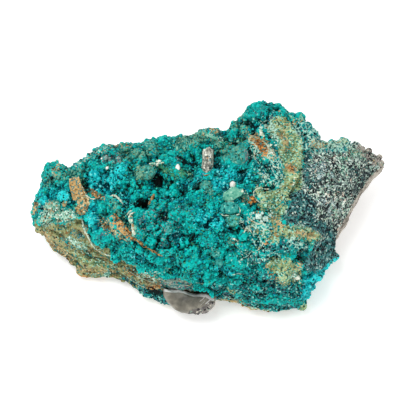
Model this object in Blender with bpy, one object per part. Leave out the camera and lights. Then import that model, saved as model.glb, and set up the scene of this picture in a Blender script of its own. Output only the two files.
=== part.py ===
"""A chrysocolla specimen: a broken piece of host rock that carries a thick turquoise crust.

The stone lies on its flat broken back, crust up. Its outline and relief are stated as they are seen
from the display direction, which looks down over the front (-Y) edge: "across" runs to the right along
+X, "up" runs up the display plane, and "height" is the real height above the surface it rests on.
Sizes are in millimetres until a mesh is made, in metres, at the end. +Z is up, and the origin is on
the flat back, near the middle of the footprint.
"""

import math
import random

import bmesh
import bpy
import numpy as np
from mathutils import Vector, geometry, noise

MM = 0.001

# Driving dimensions.
STONE_LENGTH = 110.0
DISPLAY_ELEVATION = math.radians(62.0)
FOOTPRINT_SHIFT = 8.5  # brings the middle of the footprint onto the origin
CRUST_THICKNESS = 4.2
CRUST_RIM_THICKNESS = 1.0
JOINT_GAP = 0.35  # left between pieces that grew against each other
FINE_SPACING = 1.96  # point spacing where the crust covers the stone
COARSE_SPACING = 3.3  # point spacing on bare rock
BACK_SPACING = 5.5  # point spacing on the flat back
OUTLINE_SPACING = 1.96
WALL_RINGS = 6
CRUST_WALL_RINGS = 2  # rings of the wall that the crust wraps over
BACK_SHRINK = 0.83  # the flat back against the outline above it
BACK_WANDER = 0.07  # how far that share wanders round the edge
RIM_ROUNDING = 2.4
FACE_ROUGHNESS = 0.8  # height of the unevenness on the display face
WALL_ROUGHNESS = 4.6  # and on the broken wall
FRACTURE_SIZE = (10.0, 10.0, 6.5)  # of the blocks that the rock breaks into
LUMP_SPACING = 5.2
LUMP_RADIUS = (3.0, 4.3)
LUMP_SINK = 0.42  # share of its radius that a lump is sunk into the crust
SEED = 7

# The outline: across, up, and the height of the widest edge there, from the left end clockwise.
OUTLINE = [
    (-54.8, -0.9, 11), (-53.4, 3.7, 13), (-51.2, 9.8, 15), (-50.0, 12.9, 16), (-47.2, 14.4, 17),
    (-44.8, 15.1, 18), (-42.9, 13.2, 18), (-40.2, 16.0, 19), (-35.8, 19.1, 20), (-32.8, 20.6, 21),
    (-25.4, 20.9, 22), (-18.0, 22.2, 23), (-8.2, 23.4, 24), (1.7, 25.2, 25), (5.7, 24.4, 25),
    (10.3, 28.9, 26), (16.5, 33.8, 27), (23.5, 32.6, 26), (26.0, 29.8, 26), (29.4, 29.5, 25),
    (33.4, 25.5, 24), (36.8, 21.4, 23), (41.4, 22.8, 21), (45.7, 21.1, 19), (50.9, 19.4, 17),
    (54.2, 17.0, 16), (54.9, 13.8, 15), (51.7, 11.4, 15), (48.3, 6.8, 15), (44.2, -1.2, 14),
    (40.5, -8.4, 11), (41.0, -14.2, 9), (38.0, -18.7, 7), (32.5, -24.0, 6), (32.2, -27.7, 5),
    (29.7, -30.8, 4), (19.5, -31.4, 4), (13.4, -30.2, 4), (7.4, -28.9, 4), (0.0, -29.0, 3),
    (-8.0, -29.3, 3), (-14.3, -28.9, 3), (-20.5, -26.5, 3), (-25.1, -22.9, 3), (-31.5, -21.5, 3),
    (-39.5, -20.6, 3), (-42.0, -17.5, 4), (-47.5, -13.2, 5), (-51.2, -8.3, 7), (-54.0, -3.9, 9),
]

# The relief of the display face inside the outline: across, up, height.
RELIEF = [
    (-50, -7.0, 13), (-46, -6.8, 17), (-47, 1.5, 20), (-46, 8.0, 20),
    (-38, -15.5, 9), (-37, -9.0, 19), (-36, -2.0, 22), (-36, 6.0, 23), (-35, 13.0, 23),
    (-30, -18.0, 8), (-31, -14.2, 15), (-29, -5.5, 24), (-28, 5.0, 27), (-27, 14.0, 25),
    (-17, -24.0, 7), (-17, -20.3, 14), (-18, -13.0, 24), (-17, -1.5, 31), (-16, 9.0, 29),
    (-16, 17.0, 27), (-4, -25.5, 9), (-4, -22.5, 16), (-3, -17.0, 25), (-3, -3.0, 34),
    (-2, 9.0, 33), (-2, 19.0, 29), (13, -26.5, 11), (13, -21.0, 20), (13, -12.0, 29),
    (13, 3.0, 35), (12, 16.0, 34), (16, 27.0, 31), (27, -26.0, 12), (28, -18.5, 23),
    (27, -8.0, 30), (27, 5.0, 33), (28, 18.0, 31), (37, -14.0, 14), (37, -6.0, 22),
    (38, 4.0, 27), (38, 14.0, 27), (45, 8.0, 22), (47, 14.0, 22),
]

# The edge of the crust on the display face. Points beyond the outline only close the polygon.
CRUST_EDGE = [
    (-58.0, -3.0), (-50.6, -6.2), (-45.1, -4.3), (-40.5, -2.8), (-38.6, -3.4), (-37.7, -6.8),
    (-35.2, -11.4), (-31.8, -13.5), (-26.6, -14.8), (-22.0, -17.2), (-17.4, -20.0), (-12.8, -22.5),
    (-6.6, -23.4), (-0.5, -24.0), (5.7, -25.5), (10.9, -27.6), (17.1, -29.0), (24.2, -29.0),
    (29.1, -28.4), (31.0, -36.0), (40.0, -30.0), (46.0, -15.0), (38.0, -16.0), (34.3, -17.8),
    (30.9, -20.0), (29.1, -17.2), (31.5, -12.9), (35.2, -9.8), (34.3, -6.2), (29.4, -5.8),
    (25.1, -4.0), (23.5, 0.0), (26.6, 3.1), (29.1, 6.8), (30.0, 12.3), (30.3, 17.8), (34.3, 20.3),
    (38.9, 20.0), (44.2, 19.6), (50.0, 27.0), (30.0, 42.0), (10.0, 44.0), (-30.0, 32.0), (-62.0, 20.0),
]

# Hollows between the crust's lumps: across, up, radius, depth.
PITS = [
    (-15.0, 9.0, 2.6, 4.2), (-19.5, 2.2, 2.2, 3.6), (-8.2, 6.2, 2.4, 3.4), (-3.5, 7.8, 2.0, 2.8),
    (-25.2, 6.2, 1.8, 2.6), (-11.2, -9.2, 2.0, 3.0), (-4.3, -8.3, 1.8, 2.8), (3.4, 14.0, 2.0, 2.6),
    (14.2, 10.0, 2.2, 2.6), (14.5, 25.0, 1.8, 2.4), (21.0, -14.5, 2.0, 2.6), (-31.0, 8.5, 2.0, 2.4),
]

# Larger rounded domes that stand out of the crust: across, up, radius, rise.
DOMES = [
    (10.3, 15.2, 4.6, 2.4), (7.4, 0.9, 4.2, 2.2), (9.8, -6.2, 3.6, 2.0), (15.8, 28.0, 3.4, 1.2),
    (21.5, 28.4, 3.4, 1.2), (-2.8, -16.5, 4.2, 2.2), (7.0, -13.5, 3.6, 1.8), (-46.8, 12.0, 3.4, 2.0),
    (-12.0, 13.5, 4.0, 2.0), (-24.0, 10.5, 3.8, 1.8), (-18.0, -6.5, 4.6, 1.8), (-41.0, 3.5, 3.8, 1.6),
]

# Thin mineral veins that stand out as ridges: rise, half width, and their points (across, up).
RIDGES = [
    (1.9, 1.3, [(-29.5, -3.0), (-26.0, -5.5), (-22.0, -9.2), (-17.4, -12.3), (-12.6, -14.3)]),
    (1.4, 1.2, [(-20.6, 2.0), (-22.3, -2.8), (-22.6, -8.4)]),
    (1.0, 1.1, [(-38.0, -2.6), (-37.4, -6.4), (-34.8, -11.0), (-31.0, -13.0)]),
    (1.3, 1.3, [(15.0, 6.2), (16.5, 2.8), (19.2, 2.0), (22.5, 3.2)]),
]

# The grey chalcedony lump under the front edge, in the display plane.
CHALCEDONY_EDGE = [
    (-13.2, -23.9), (-11.4, -24.6), (-7.5, -24.3), (-4.6, -25.8), (-1.0, -25.3), (2.6, -25.0),
    (3.0, -26.8), (2.2, -29.2), (0.4, -31.2), (-1.8, -32.0), (-4.6, -31.7), (-8.2, -31.4),
    (-11.6, -29.0), (-13.0, -26.4),
]
CHALCEDONY_HEIGHT = 8.5
CHALCEDONY_REACH = 2.6  # how far its belly stands out of the wall
CHALCEDONY_ROOT = 5.5  # how far it goes back into the rock

# The single prism of smoky tan quartz that stands in the crust.
CRYSTAL_CENTRE = (0.4, 15.6)
CRYSTAL_LENGTH = 7.6
CRYSTAL_RADIUS = 1.75
CRYSTAL_POINT = 1.5
CRYSTAL_LEAN = math.radians(6.0)
CRYSTAL_SINK = 0.35

SIN_E, COS_E = math.sin(DISPLAY_ELEVATION), math.cos(DISPLAY_ELEVATION)
TOWARD_VIEWER = Vector((0.0, -COS_E, SIN_E))
UP_THE_PLANE = Vector((0.0, SIN_E, COS_E))


def clear_scene():
    """Removes whatever the file opened with."""
    for obj in list(bpy.data.objects):
        bpy.data.objects.remove(obj)


def placed(across, up, height):
    """The point that is seen at (across, up) and lies at that height, in millimetres."""
    return np.array([across, (up - height * COS_E) / SIN_E + FOOTPRINT_SHIFT, height])


def smoothstep(x):
    x = np.clip(x, 0.0, 1.0)
    return x * x * (3.0 - 2.0 * x)


def closed_spline(points, spacing):
    """Points at an even spacing along a closed Catmull-Rom curve through the given ones."""
    points = np.array(points, float)
    count = len(points)
    dense = []
    for i in range(count):
        a, b, c, d = (points[(i + k - 1) % count] for k in range(4))
        for t in np.linspace(0.0, 1.0, 12, endpoint=False):
            dense.append(
                0.5 * (2 * b + (c - a) * t + (2 * a - 5 * b + 4 * c - d) * t**2
                       + (3 * b - a - 3 * c + d) * t**3)
            )
    dense = np.array(dense + [dense[0]])
    along = np.concatenate([[0.0], np.cumsum(np.linalg.norm(np.diff(dense[:, :2], axis=0), axis=1))])
    stops = np.linspace(0.0, along[-1], round(along[-1] / spacing), endpoint=False)
    return np.stack([np.interp(stops, along, dense[:, k]) for k in range(dense.shape[1])], axis=1)


def inside(points, polygon):
    """Which of the points lie inside the polygon."""
    x, y = points[:, 0], points[:, 1]
    result = np.zeros(len(points), bool)
    polygon = np.asarray(polygon, float)
    for (x1, y1), (x2, y2) in zip(polygon, np.roll(polygon, -1, axis=0)):
        crosses = (y1 > y) != (y2 > y)
        with np.errstate(divide="ignore", invalid="ignore"):
            result ^= crosses & (x < (x2 - x1) * (y - y1) / (y2 - y1) + x1)
    return result


def distance_to_path(points, path, is_closed=False):
    """Distance from each point to a line through the path's points."""
    path = np.asarray(path, float)
    ends = np.roll(path, -1, axis=0) if is_closed else path[1:]
    starts = path if is_closed else path[:-1]
    best = np.full(len(points), np.inf)
    for a, b in zip(starts, ends):
        run = b - a
        t = np.clip((points - a) @ run / max(run @ run, 1e-9), 0.0, 1.0)
        best = np.minimum(best, np.linalg.norm(points - a - t[:, None] * run, axis=1))
    return best


def thin_plate(anchors):
    """A smooth surface through anchors (across, up, height), as a function of an array of points."""
    anchors = np.array(anchors, float)
    count = len(anchors)

    def kernel(distance):
        return distance**2 * np.log(np.maximum(distance, 1e-6))

    spread = np.linalg.norm(anchors[:, None, :2] - anchors[None, :, :2], axis=2)
    flat = np.c_[np.ones(count), anchors[:, :2]]
    system = np.block([[kernel(spread) + 2.0 * np.eye(count), flat], [flat.T, np.zeros((3, 3))]])
    weights = np.linalg.solve(system, np.r_[anchors[:, 2], np.zeros(3)])

    def surface(points):
        distance = np.linalg.norm(points[:, None] - anchors[None, :, :2], axis=2)
        return kernel(distance) @ weights[:count] + np.c_[np.ones(len(points)), points] @ weights[count:]

    return surface


def hexagonal_grid(spacing):
    """Points of a slightly shaken hexagonal grid that covers the whole outline."""
    shaken = random.Random(SEED)
    reach = STONE_LENGTH / 2 + 4.0
    rows = int(2 * reach / (spacing * 0.866))
    points = []
    for row in range(rows):
        for column in range(int(2 * reach / spacing)):
            points.append((
                -reach + (column + 0.5 * (row % 2)) * spacing + shaken.uniform(-0.12, 0.12) * spacing,
                -reach + row * spacing * 0.866 + shaken.uniform(-0.12, 0.12) * spacing,
            ))
    return np.array(points)


def triangulate(loop, inner):
    """Triangles over the inner points, closed by the loop. The loop's points keep their numbers."""
    points = [Vector(p) for p in np.vstack([loop, inner])]
    count = len(loop)
    edges = [(i, (i + 1) % count) for i in range(count)]
    _, _, faces, _, _, _ = geometry.delaunay_2d_cdt(points, edges, [], 1, 1e-5)
    return [tuple(face) for face in faces]


def display_points(loop):
    """The points of the display face: fine under the crust, coarser on bare rock."""
    edge = np.array(CRUST_EDGE)
    fine, coarse = hexagonal_grid(FINE_SPACING), hexagonal_grid(COARSE_SPACING)
    fine = fine[inside(fine, edge)]
    coarse = coarse[~inside(coarse, edge) & (distance_to_path(coarse, edge, True) > 0.8 * FINE_SPACING)]
    border = closed_spline(np.c_[edge, np.zeros(len(edge))], FINE_SPACING)[:, :2]
    fine = fine[distance_to_path(fine, border, True) > 0.6 * FINE_SPACING]
    points = np.vstack([border, fine, coarse])
    keep = inside(points, loop) & (distance_to_path(points, loop, True) > 0.62 * FINE_SPACING)
    return points[keep]


def vertex_normals(points, faces):
    """Area-weighted normals of the vertices."""
    faces = np.array(faces)
    a, b, c = (points[faces[:, k]] for k in range(3))
    across = np.cross(b - a, c - a)
    normals = np.zeros_like(points)
    for k in range(3):
        np.add.at(normals, faces[:, k], across)
    return normals / np.maximum(np.linalg.norm(normals, axis=1, keepdims=True), 1e-9)


def neighbour_mean(values, faces, rounds):
    """Values averaged over each vertex's neighbours, several times."""
    faces = np.array(faces)
    for _ in range(rounds):
        total, count = values.copy(), np.ones(len(values))
        for i, j in ((0, 1), (1, 2), (2, 0)):
            np.add.at(total, faces[:, i], values[faces[:, j]])
            np.add.at(count, faces[:, i], 1.0)
        values = total / (count[:, None] if values.ndim == 2 else count)
    return values


def build_body():
    """The stone as a closed surface: display face, wall and flat back.

    Returns its points, its faces, and for each point where it is seen (across, up) and how far round
    the wall it lies, from 0 on the display face to 1 on the back.
    """
    rim = closed_spline(OUTLINE, OUTLINE_SPACING)
    count = len(rim)
    loop = rim[:, :2]
    inner = display_points(loop)
    anchors = [(x, y, z + RIM_ROUNDING) for x, y, z in OUTLINE] + RELIEF
    height = thin_plate(anchors)(inner)
    depth_in = np.clip(distance_to_path(inner, loop, True) / RIM_ROUNDING, 0.0, 1.0)
    height -= RIM_ROUNDING * (1.0 - np.sqrt(1.0 - (1.0 - depth_in) ** 2))
    points = [placed(*row) for row in rim]
    points += [placed(x, y, z) for (x, y), z in zip(inner, height)]
    seen = [tuple(p) for p in loop] + [tuple(p) for p in inner]
    wall = [0.0] * len(points)
    faces = triangulate(loop, inner)

    top = np.array(points[:count])
    middle = top[:, :2].mean(axis=0)
    wander = np.array([noise.noise(Vector(p) / 13.0) for p in top])
    foot = middle + (BACK_SHRINK + BACK_WANDER * wander)[:, None] * (top[:, :2] - middle)
    previous = list(range(count))
    for ring in range(1, WALL_RINGS + 1):
        share = ring / WALL_RINGS
        here = []
        for i in range(count):
            spot = top[i, :2] + (foot[i] - top[i, :2]) * share**1.7
            here.append(len(points))
            points.append(np.array([*spot, top[i, 2] * (1.0 - share)]))
            seen.append((spot[0], (spot[1] - FOOTPRINT_SHIFT) * SIN_E + points[-1][2] * COS_E))
            wall.append(share)
        for i in range(count):
            j = (i + 1) % count
            faces.append((previous[i], previous[j], here[i]))
            faces.append((previous[j], here[j], here[i]))
        previous = here

    foot_loop = np.array([points[i][:2] for i in previous])
    grid = hexagonal_grid(BACK_SPACING)
    grid = grid[inside(grid, foot_loop) & (distance_to_path(grid, foot_loop, True) > 0.5 * BACK_SPACING)]
    numbers = previous + list(range(len(points), len(points) + len(grid)))
    points += [np.array([x, y, 0.0]) for x, y in grid]
    seen += [(x, (y - FOOTPRINT_SHIFT) * SIN_E) for x, y in grid]
    wall += [1.0] * len(grid)
    for a, b, c in triangulate(foot_loop, grid):
        faces.append((numbers[c], numbers[b], numbers[a]))
    return np.array(points), faces, np.array(seen), np.array(wall)


def rock_unevenness(points, wall):
    """How far broken rock stands out of, or falls short of, the smooth body at each point."""
    broad = np.array([noise.noise(Vector(p) / 12.0) for p in points])
    cells = [noise.voronoi(Vector(p / np.array(FRACTURE_SIZE)))[0] for p in points]
    blocks = np.array([second - first for first, second, _, _ in cells])
    on_wall = np.sin(math.pi * np.clip(wall, 0.0, 1.0))
    height = FACE_ROUGHNESS + (WALL_ROUGHNESS - FACE_ROUGHNESS) * on_wall
    return height * (0.7 * broad + 0.8 * blocks - 0.3) * smoothstep(points[:, 2] / 4.0) * (wall < 1.0)


def carve_features(points, seen, wall):
    """The pits, domes and ridges of the display face, as a rise along the normal."""
    rise = np.zeros(len(points))
    for across, up, radius, drop in PITS:
        distance = np.linalg.norm(seen - (across, up), axis=1) / radius
        rise -= drop * np.exp(-(distance**2))
    for across, up, radius, lift in DOMES:
        distance = np.linalg.norm(seen - (across, up), axis=1) / radius
        rise += lift * np.sqrt(np.clip(1.0 - distance**2, 0.0, 1.0))
    return np.where(wall > 0.0, 0.0, rise)


def crust_lumps(points, seen, wall, on_crust):
    """Centres and radii of the crust's rounded lumps, kept a lump's spacing apart."""
    picker = random.Random(SEED)
    order = [i for i in range(len(points)) if on_crust[i] and wall[i] == 0.0]
    picker.shuffle(order)
    lumps = []
    for i in order:
        crowded = any(np.linalg.norm(points[i] - centre) < LUMP_SPACING for centre, _ in lumps)
        near_dome = any(math.dist(seen[i], dome[:2]) < 0.8 * dome[2] for dome in DOMES)
        if not crowded and not near_dome:
            lumps.append((points[i], picker.uniform(*LUMP_RADIUS)))
    return lumps


def lump_rise(points, lumps):
    """The height of the lumps' caps over the surface at each point."""
    rise = np.zeros(len(points))
    for centre, radius in lumps:
        squared = np.sum((points - centre) ** 2, axis=1)
        rise = np.maximum(rise, np.sqrt(np.clip(radius**2 - squared, 0.0, None)) - LUMP_SINK * radius)
    return rise


def connected(faces):
    """The largest set of faces that hang together."""
    parent = {}

    def root(v):
        while parent.setdefault(v, v) != v:
            parent[v] = parent[parent[v]]
            v = parent[v]
        return v

    for a, b, c in faces:
        parent[root(a)] = root(b)
        parent[root(b)] = root(c)
    groups = {}
    for face in faces:
        groups.setdefault(root(face[0]), []).append(face)
    return max(groups.values(), key=len)


def without_pinches(faces):
    """Drops faces until no vertex joins two fans that share no edge."""
    while True:
        edges = {}
        for face in faces:
            for i in range(3):
                edges.setdefault(frozenset((face[i], face[(i + 1) % 3])), []).append(face)
        border_uses = {}
        for edge, users in edges.items():
            if len(users) == 1:
                for v in edge:
                    border_uses[v] = border_uses.get(v, 0) + 1
        pinched = {v for v, uses in border_uses.items() if uses > 2}
        if not pinched:
            return connected(faces)
        faces = connected([face for face in faces if not pinched & set(face)])


def border_of(faces):
    """Directed edges of the faces that have no twin."""
    directed = {(face[i], face[(i + 1) % 3]) for face in faces for i in range(3)}
    return [edge for edge in directed if (edge[1], edge[0]) not in directed]


def shell(outer, inner, faces):
    """A closed sheet with its own thickness: outer points, inner points, and walls on its border."""
    used = sorted({v for face in faces for v in face})
    number = {v: k for k, v in enumerate(used)}
    count = len(used)
    points = np.vstack([outer[used], inner[used]])
    sheet = [tuple(number[v] for v in face) for face in faces]
    closed = sheet + [(c + count, b + count, a + count) for a, b, c in sheet]
    for a, b in sorted(border_of(sheet)):
        closed += [(b, a, a + count), (b, a + count, b + count)]
    return points, closed


def make_object(name, points, faces, material):
    """A named object from points in millimetres, with its faces shaded flat as crystals and rock are."""
    mesh = bpy.data.meshes.new(name)
    mesh.from_pydata([tuple(p) for p in np.asarray(points) * MM], [], faces)
    mesh.validate()
    mesh.materials.append(material)
    obj = bpy.data.objects.new(name, mesh)
    bpy.context.scene.collection.objects.link(obj)
    return obj


def finish_material(name, colour, roughness):
    """A plain Principled BSDF."""
    material = bpy.data.materials.new(name)
    material.use_nodes = True
    shader = material.node_tree.nodes["Principled BSDF"]
    shader.inputs["Base Color"].default_value = (*colour, 1.0)
    shader.inputs["Roughness"].default_value = roughness
    shader.inputs["Metallic"].default_value = 0.0
    return material


def with_soft_creases(points, faces, wall, rim_count):
    """The points with the display face's creases softened, and the rim, wall and back left alone."""
    on_face = wall == 0.0
    on_face[:rim_count] = False
    return np.where(on_face[:, None], 0.5 * (points + neighbour_mean(points, faces, 1)), points)


def build_stone():
    """The host rock and the crust that grew on it, with an even gap between them."""
    base, faces, seen, wall = build_body()
    rim_count = int(np.sum(np.isclose(wall, 1.0 / WALL_RINGS)))
    base = with_soft_creases(base, faces, wall, rim_count)
    normals = vertex_normals(base, faces)
    soft_normals = neighbour_mean(normals, faces, 2)
    soft_normals /= np.linalg.norm(soft_normals, axis=1, keepdims=True)

    on_crust = inside(seen, CRUST_EDGE) & (wall <= CRUST_WALL_RINGS / WALL_RINGS + 1e-6)
    under_rim = inside(seen[:rim_count], CRUST_EDGE)
    for ring in range(WALL_RINGS):
        start = int(np.argmax(wall == (ring + 1) / WALL_RINGS))
        on_crust[start:start + rim_count] &= under_rim
        on_crust[start:start + rim_count] |= under_rim & (ring < CRUST_WALL_RINGS)

    depth_in = distance_to_path(seen, np.array(OUTLINE)[:, :2], True)
    from_edge = distance_to_path(seen, np.array(CRUST_EDGE), True)
    grown = smoothstep(np.minimum(depth_in, from_edge) / 6.0) * (wall == 0.0)
    thickness = CRUST_RIM_THICKNESS + (CRUST_THICKNESS - CRUST_RIM_THICKNESS) * grown

    broad = rock_unevenness(base, wall) + carve_features(base, seen, wall)
    surface = base + soft_normals * broad[:, None]

    lumps = crust_lumps(base, seen, wall, on_crust & (depth_in > 1.5))
    rise = lump_rise(base, lumps)
    for lift, half_width, path in RIDGES:
        rise += lift * np.exp(-((distance_to_path(seen, path) / half_width) ** 2)) * (wall == 0.0)
    outer = surface + soft_normals * rise[:, None]

    crust_faces = without_pinches([face for face in faces if all(on_crust[list(face)])])
    covered = np.zeros(len(base), bool)
    covered[list({v for face in crust_faces for v in face})] = True
    inner_depth = np.where(covered, thickness, 0.0)
    inner = surface - soft_normals * inner_depth[:, None]
    rock = surface - soft_normals * np.where(covered, thickness + JOINT_GAP, 0.0)[:, None]
    rock[:, 2] = np.maximum(rock[:, 2], 0.0)
    return (rock, faces), shell(outer, inner, crust_faces)


def build_chalcedony(grow):
    """The chalcedony lump as points and faces. Its belly is smooth and bowed; grow widens it all round."""
    edge = closed_spline(np.c_[np.array(CHALCEDONY_EDGE), np.zeros(len(CHALCEDONY_EDGE))], 1.7)[:, :2]
    centre = edge.mean(axis=0)
    centre_point = placed(*centre, CHALCEDONY_HEIGHT)
    out, along_up = np.array(TOWARD_VIEWER), np.array(UP_THE_PLANE)
    rings = [(1.0, 0.0), (0.94, 0.45), (0.72, 0.8), (0.38, 0.96)]
    points, faces = [], []

    def add_ring(scale, depth):
        start = len(points)
        for x, y in edge:
            reach = np.array([x, y]) - centre
            size = scale * (1.0 + grow / max(np.linalg.norm(reach), 1e-6))
            spot = centre_point + np.array([reach[0] * size, 0, 0]) + along_up * reach[1] * size
            points.append(spot + out * depth)
        return start

    starts = [add_ring(0.8, -(CHALCEDONY_ROOT + grow)), add_ring(1.0, -0.5 * CHALCEDONY_ROOT)]
    starts += [add_ring(scale, lift * (CHALCEDONY_REACH + grow)) for scale, lift in rings]
    count = len(edge)
    for low, high in zip(starts, starts[1:]):
        for i in range(count):
            j = (i + 1) % count
            faces += [(low + i, high + i, high + j), (low + i, high + j, low + j)]
    points.append(centre_point - out * (CHALCEDONY_ROOT + grow))
    points.append(centre_point + out * (CHALCEDONY_REACH + grow))
    for i in range(count):
        j = (i + 1) % count
        faces.append((starts[0] + i, starts[0] + j, len(points) - 2))
        faces.append((starts[-1] + j, starts[-1] + i, len(points) - 1))
    return np.array(points), faces


def build_crystal(seat, grow):
    """A six-sided prism with a point at each end, lying up the display plane on its seat."""
    along = np.array([math.sin(CRYSTAL_LEAN), *(math.cos(CRYSTAL_LEAN) * np.array(UP_THE_PLANE)[1:])])
    out = np.array(TOWARD_VIEWER)
    side = np.cross(along, out)
    radius = CRYSTAL_RADIUS + grow
    half = CRYSTAL_LENGTH / 2 - CRYSTAL_POINT
    points = [seat - along * (half + CRYSTAL_POINT + grow), seat + along * (half + CRYSTAL_POINT + grow)]
    for end in (-half, half):
        for k in range(6):
            angle = math.radians(60 * k)
            points.append(seat + along * end + radius * (math.cos(angle) * side + math.sin(angle) * out))
    faces = []
    for k in range(6):
        n = (k + 1) % 6
        faces += [(0, 2 + n, 2 + k), (1, 8 + k, 8 + n), (2 + k, 2 + n, 8 + n), (2 + k, 8 + n, 8 + k)]
    return np.array(points), faces


def facing_out(obj):
    """Turns a closed mesh's faces outwards."""
    mesh = bmesh.new()
    mesh.from_mesh(obj.data)
    bmesh.ops.recalc_face_normals(mesh, faces=mesh.faces)
    mesh.to_mesh(obj.data)
    mesh.free()


def cut_socket(target, cutter):
    """Cuts the cutter's shape out of the target and hides the cutter."""
    cutter.hide_render = True
    cutter.display_type = "WIRE"
    socket = target.modifiers.new("socket", "BOOLEAN")
    socket.operation = "DIFFERENCE"
    socket.solver = "EXACT"
    socket.object = cutter


def main():
    clear_scene()
    rock_finish = finish_material("weathered_host_rock", (0.22, 0.20, 0.13), 0.85)
    crust_finish = finish_material("chrysocolla_crust", (0.01, 0.33, 0.30), 0.5)
    chalcedony_finish = finish_material("grey_chalcedony", (0.28, 0.26, 0.23), 0.3)
    quartz_finish = finish_material("tan_quartz", (0.45, 0.38, 0.27), 0.35)

    (rock_points, rock_faces), (crust_points, crust_faces) = build_stone()
    rock = make_object("host_rock", rock_points, rock_faces, rock_finish)
    crust = make_object("chrysocolla_crust", crust_points, crust_faces, crust_finish)

    seen_up = (crust_points[:, 1] - FOOTPRINT_SHIFT) * SIN_E + crust_points[:, 2] * COS_E
    near = np.hypot(crust_points[:, 0] - CRYSTAL_CENTRE[0], seen_up - CRYSTAL_CENTRE[1]) < 3.0
    seat = placed(*CRYSTAL_CENTRE, crust_points[near, 2].max() + CRYSTAL_SINK)

    pieces = (
        ("chalcedony_lump", build_chalcedony(0.0), build_chalcedony(JOINT_GAP), chalcedony_finish),
        ("quartz_prism", build_crystal(seat, 0.0), build_crystal(seat, JOINT_GAP), quartz_finish),
    )
    for name, solid, socket, finish in pieces:
        facing_out(make_object(name, *solid, finish))
        cutter = make_object("cutter_for_" + name, *socket, finish)
        facing_out(cutter)
        cut_socket(rock, cutter)
        cut_socket(crust, cutter)


main()
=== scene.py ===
"""The looks of a chrysocolla hand specimen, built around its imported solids.

The stone lies on its broken back. A thick turquoise crust of small rounded beads covers its display
face and wraps over the rim, and bare rock shows at both ends. Places on the display face are given as
they are seen from the display direction, in millimetres: "across" runs right, "up" runs up the plane.
Everything is seated on the solids' own surfaces, in metres, with +Z up.
"""

import logging
import math
import random
from dataclasses import asdict, dataclass
from enum import Enum
from functools import partial
from typing import Any

import bmesh
import bpy
import numpy as np
from bpy.types import Material, Mesh, Node, NodeSocket, NodeTree, Object
from mathutils import Matrix, Vector, noise
from mathutils.bvhtree import BVHTree

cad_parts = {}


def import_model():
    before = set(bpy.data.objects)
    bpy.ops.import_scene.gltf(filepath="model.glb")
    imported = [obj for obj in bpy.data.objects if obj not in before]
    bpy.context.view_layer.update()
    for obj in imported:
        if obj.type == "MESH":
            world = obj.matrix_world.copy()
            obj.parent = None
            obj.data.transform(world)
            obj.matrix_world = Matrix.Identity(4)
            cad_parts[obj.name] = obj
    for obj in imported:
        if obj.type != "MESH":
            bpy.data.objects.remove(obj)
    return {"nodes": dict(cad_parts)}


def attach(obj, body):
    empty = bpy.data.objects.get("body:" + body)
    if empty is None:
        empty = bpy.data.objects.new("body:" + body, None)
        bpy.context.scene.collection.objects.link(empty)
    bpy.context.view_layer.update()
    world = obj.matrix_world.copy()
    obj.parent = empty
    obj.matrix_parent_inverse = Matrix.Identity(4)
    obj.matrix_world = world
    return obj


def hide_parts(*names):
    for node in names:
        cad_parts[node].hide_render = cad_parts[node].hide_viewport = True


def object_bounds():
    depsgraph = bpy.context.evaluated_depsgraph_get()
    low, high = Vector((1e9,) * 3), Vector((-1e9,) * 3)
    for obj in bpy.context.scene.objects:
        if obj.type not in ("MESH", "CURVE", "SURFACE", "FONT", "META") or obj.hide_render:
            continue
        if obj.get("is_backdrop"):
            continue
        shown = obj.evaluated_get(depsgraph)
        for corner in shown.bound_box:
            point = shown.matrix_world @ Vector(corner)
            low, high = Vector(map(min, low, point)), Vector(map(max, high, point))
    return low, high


MM = 0.001
ELEVATION = math.radians(62.0)
SIN_E = math.sin(ELEVATION)
COS_E = math.cos(ELEVATION)
FOOTPRINT_SHIFT = 8.5
TOWARD_VIEWER = Vector((0.0, -COS_E, SIN_E))
UP_THE_PLANE = Vector((0.0, SIN_E, COS_E))
OUTWARD = np.array(TOWARD_VIEWER)
UPWARD = np.array(UP_THE_PLANE)
VIEW_REACH = 80.0  # how far off the face, in millimetres, a seat is looked for from
FACE_HEIGHT = 15.0  # and where it is looked for beside the stone
MERGE_DISTANCE = 0.001  # in millimetres
BODY = "root"

Place = tuple[float, float]
Feed = Node | NodeSocket
Marks = dict[str, np.ndarray | float]

log = logging.getLogger("chrysocolla")


class Tone(Enum):
    """The colours that lie over a surface's own, each in patches of its own. BARE only keeps beads away."""

    OLIVE = "olive"
    MOSS = "moss"
    TAN = "tan"
    RUST = "rust"
    PALE = "pale"
    MINT = "mint"
    DUSK = "dusk"
    SLATE = "slate"
    # painted shade in the bottoms of the gaps
    DEEP = "deep"
    GREEN = "green"
    AZURE = "azure"
    SPECK = "speck"
    FROST = "frost"
    BEIGE = "beige"
    TEAL = "teal"
    FOREST = "forest"
    NIGHT = "night"
    LACE = "lace"
    INK = "ink"
    UMBER = "umber"
    ASH = "ash"
    BARE = "bare"

    @property
    def layer(self) -> str:
        """The name of the attribute that says how strongly the tone lies at each point."""
        return "tone_" + self.value


@dataclass(frozen=True)
class Patch:
    """A stretch of one tone: a line on the display face with a width, and an edge that frays."""

    tone: Tone
    half_width: float
    line: tuple[Place, ...]
    amount: float = 1.0
    feather: float = 1.2


def linear(hex_colour: str) -> tuple[float, float, float, float]:
    """Turns six sRGB hex digits into the linear colour that a shader takes, with an alpha of 1."""
    parts = [int(hex_colour[i:i + 2], 16) / 255 for i in (0, 2, 4)]
    return (*(c / 12.92 if c <= 0.04045 else ((c + 0.055) / 1.055) ** 2.4 for c in parts), 1.0)


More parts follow.
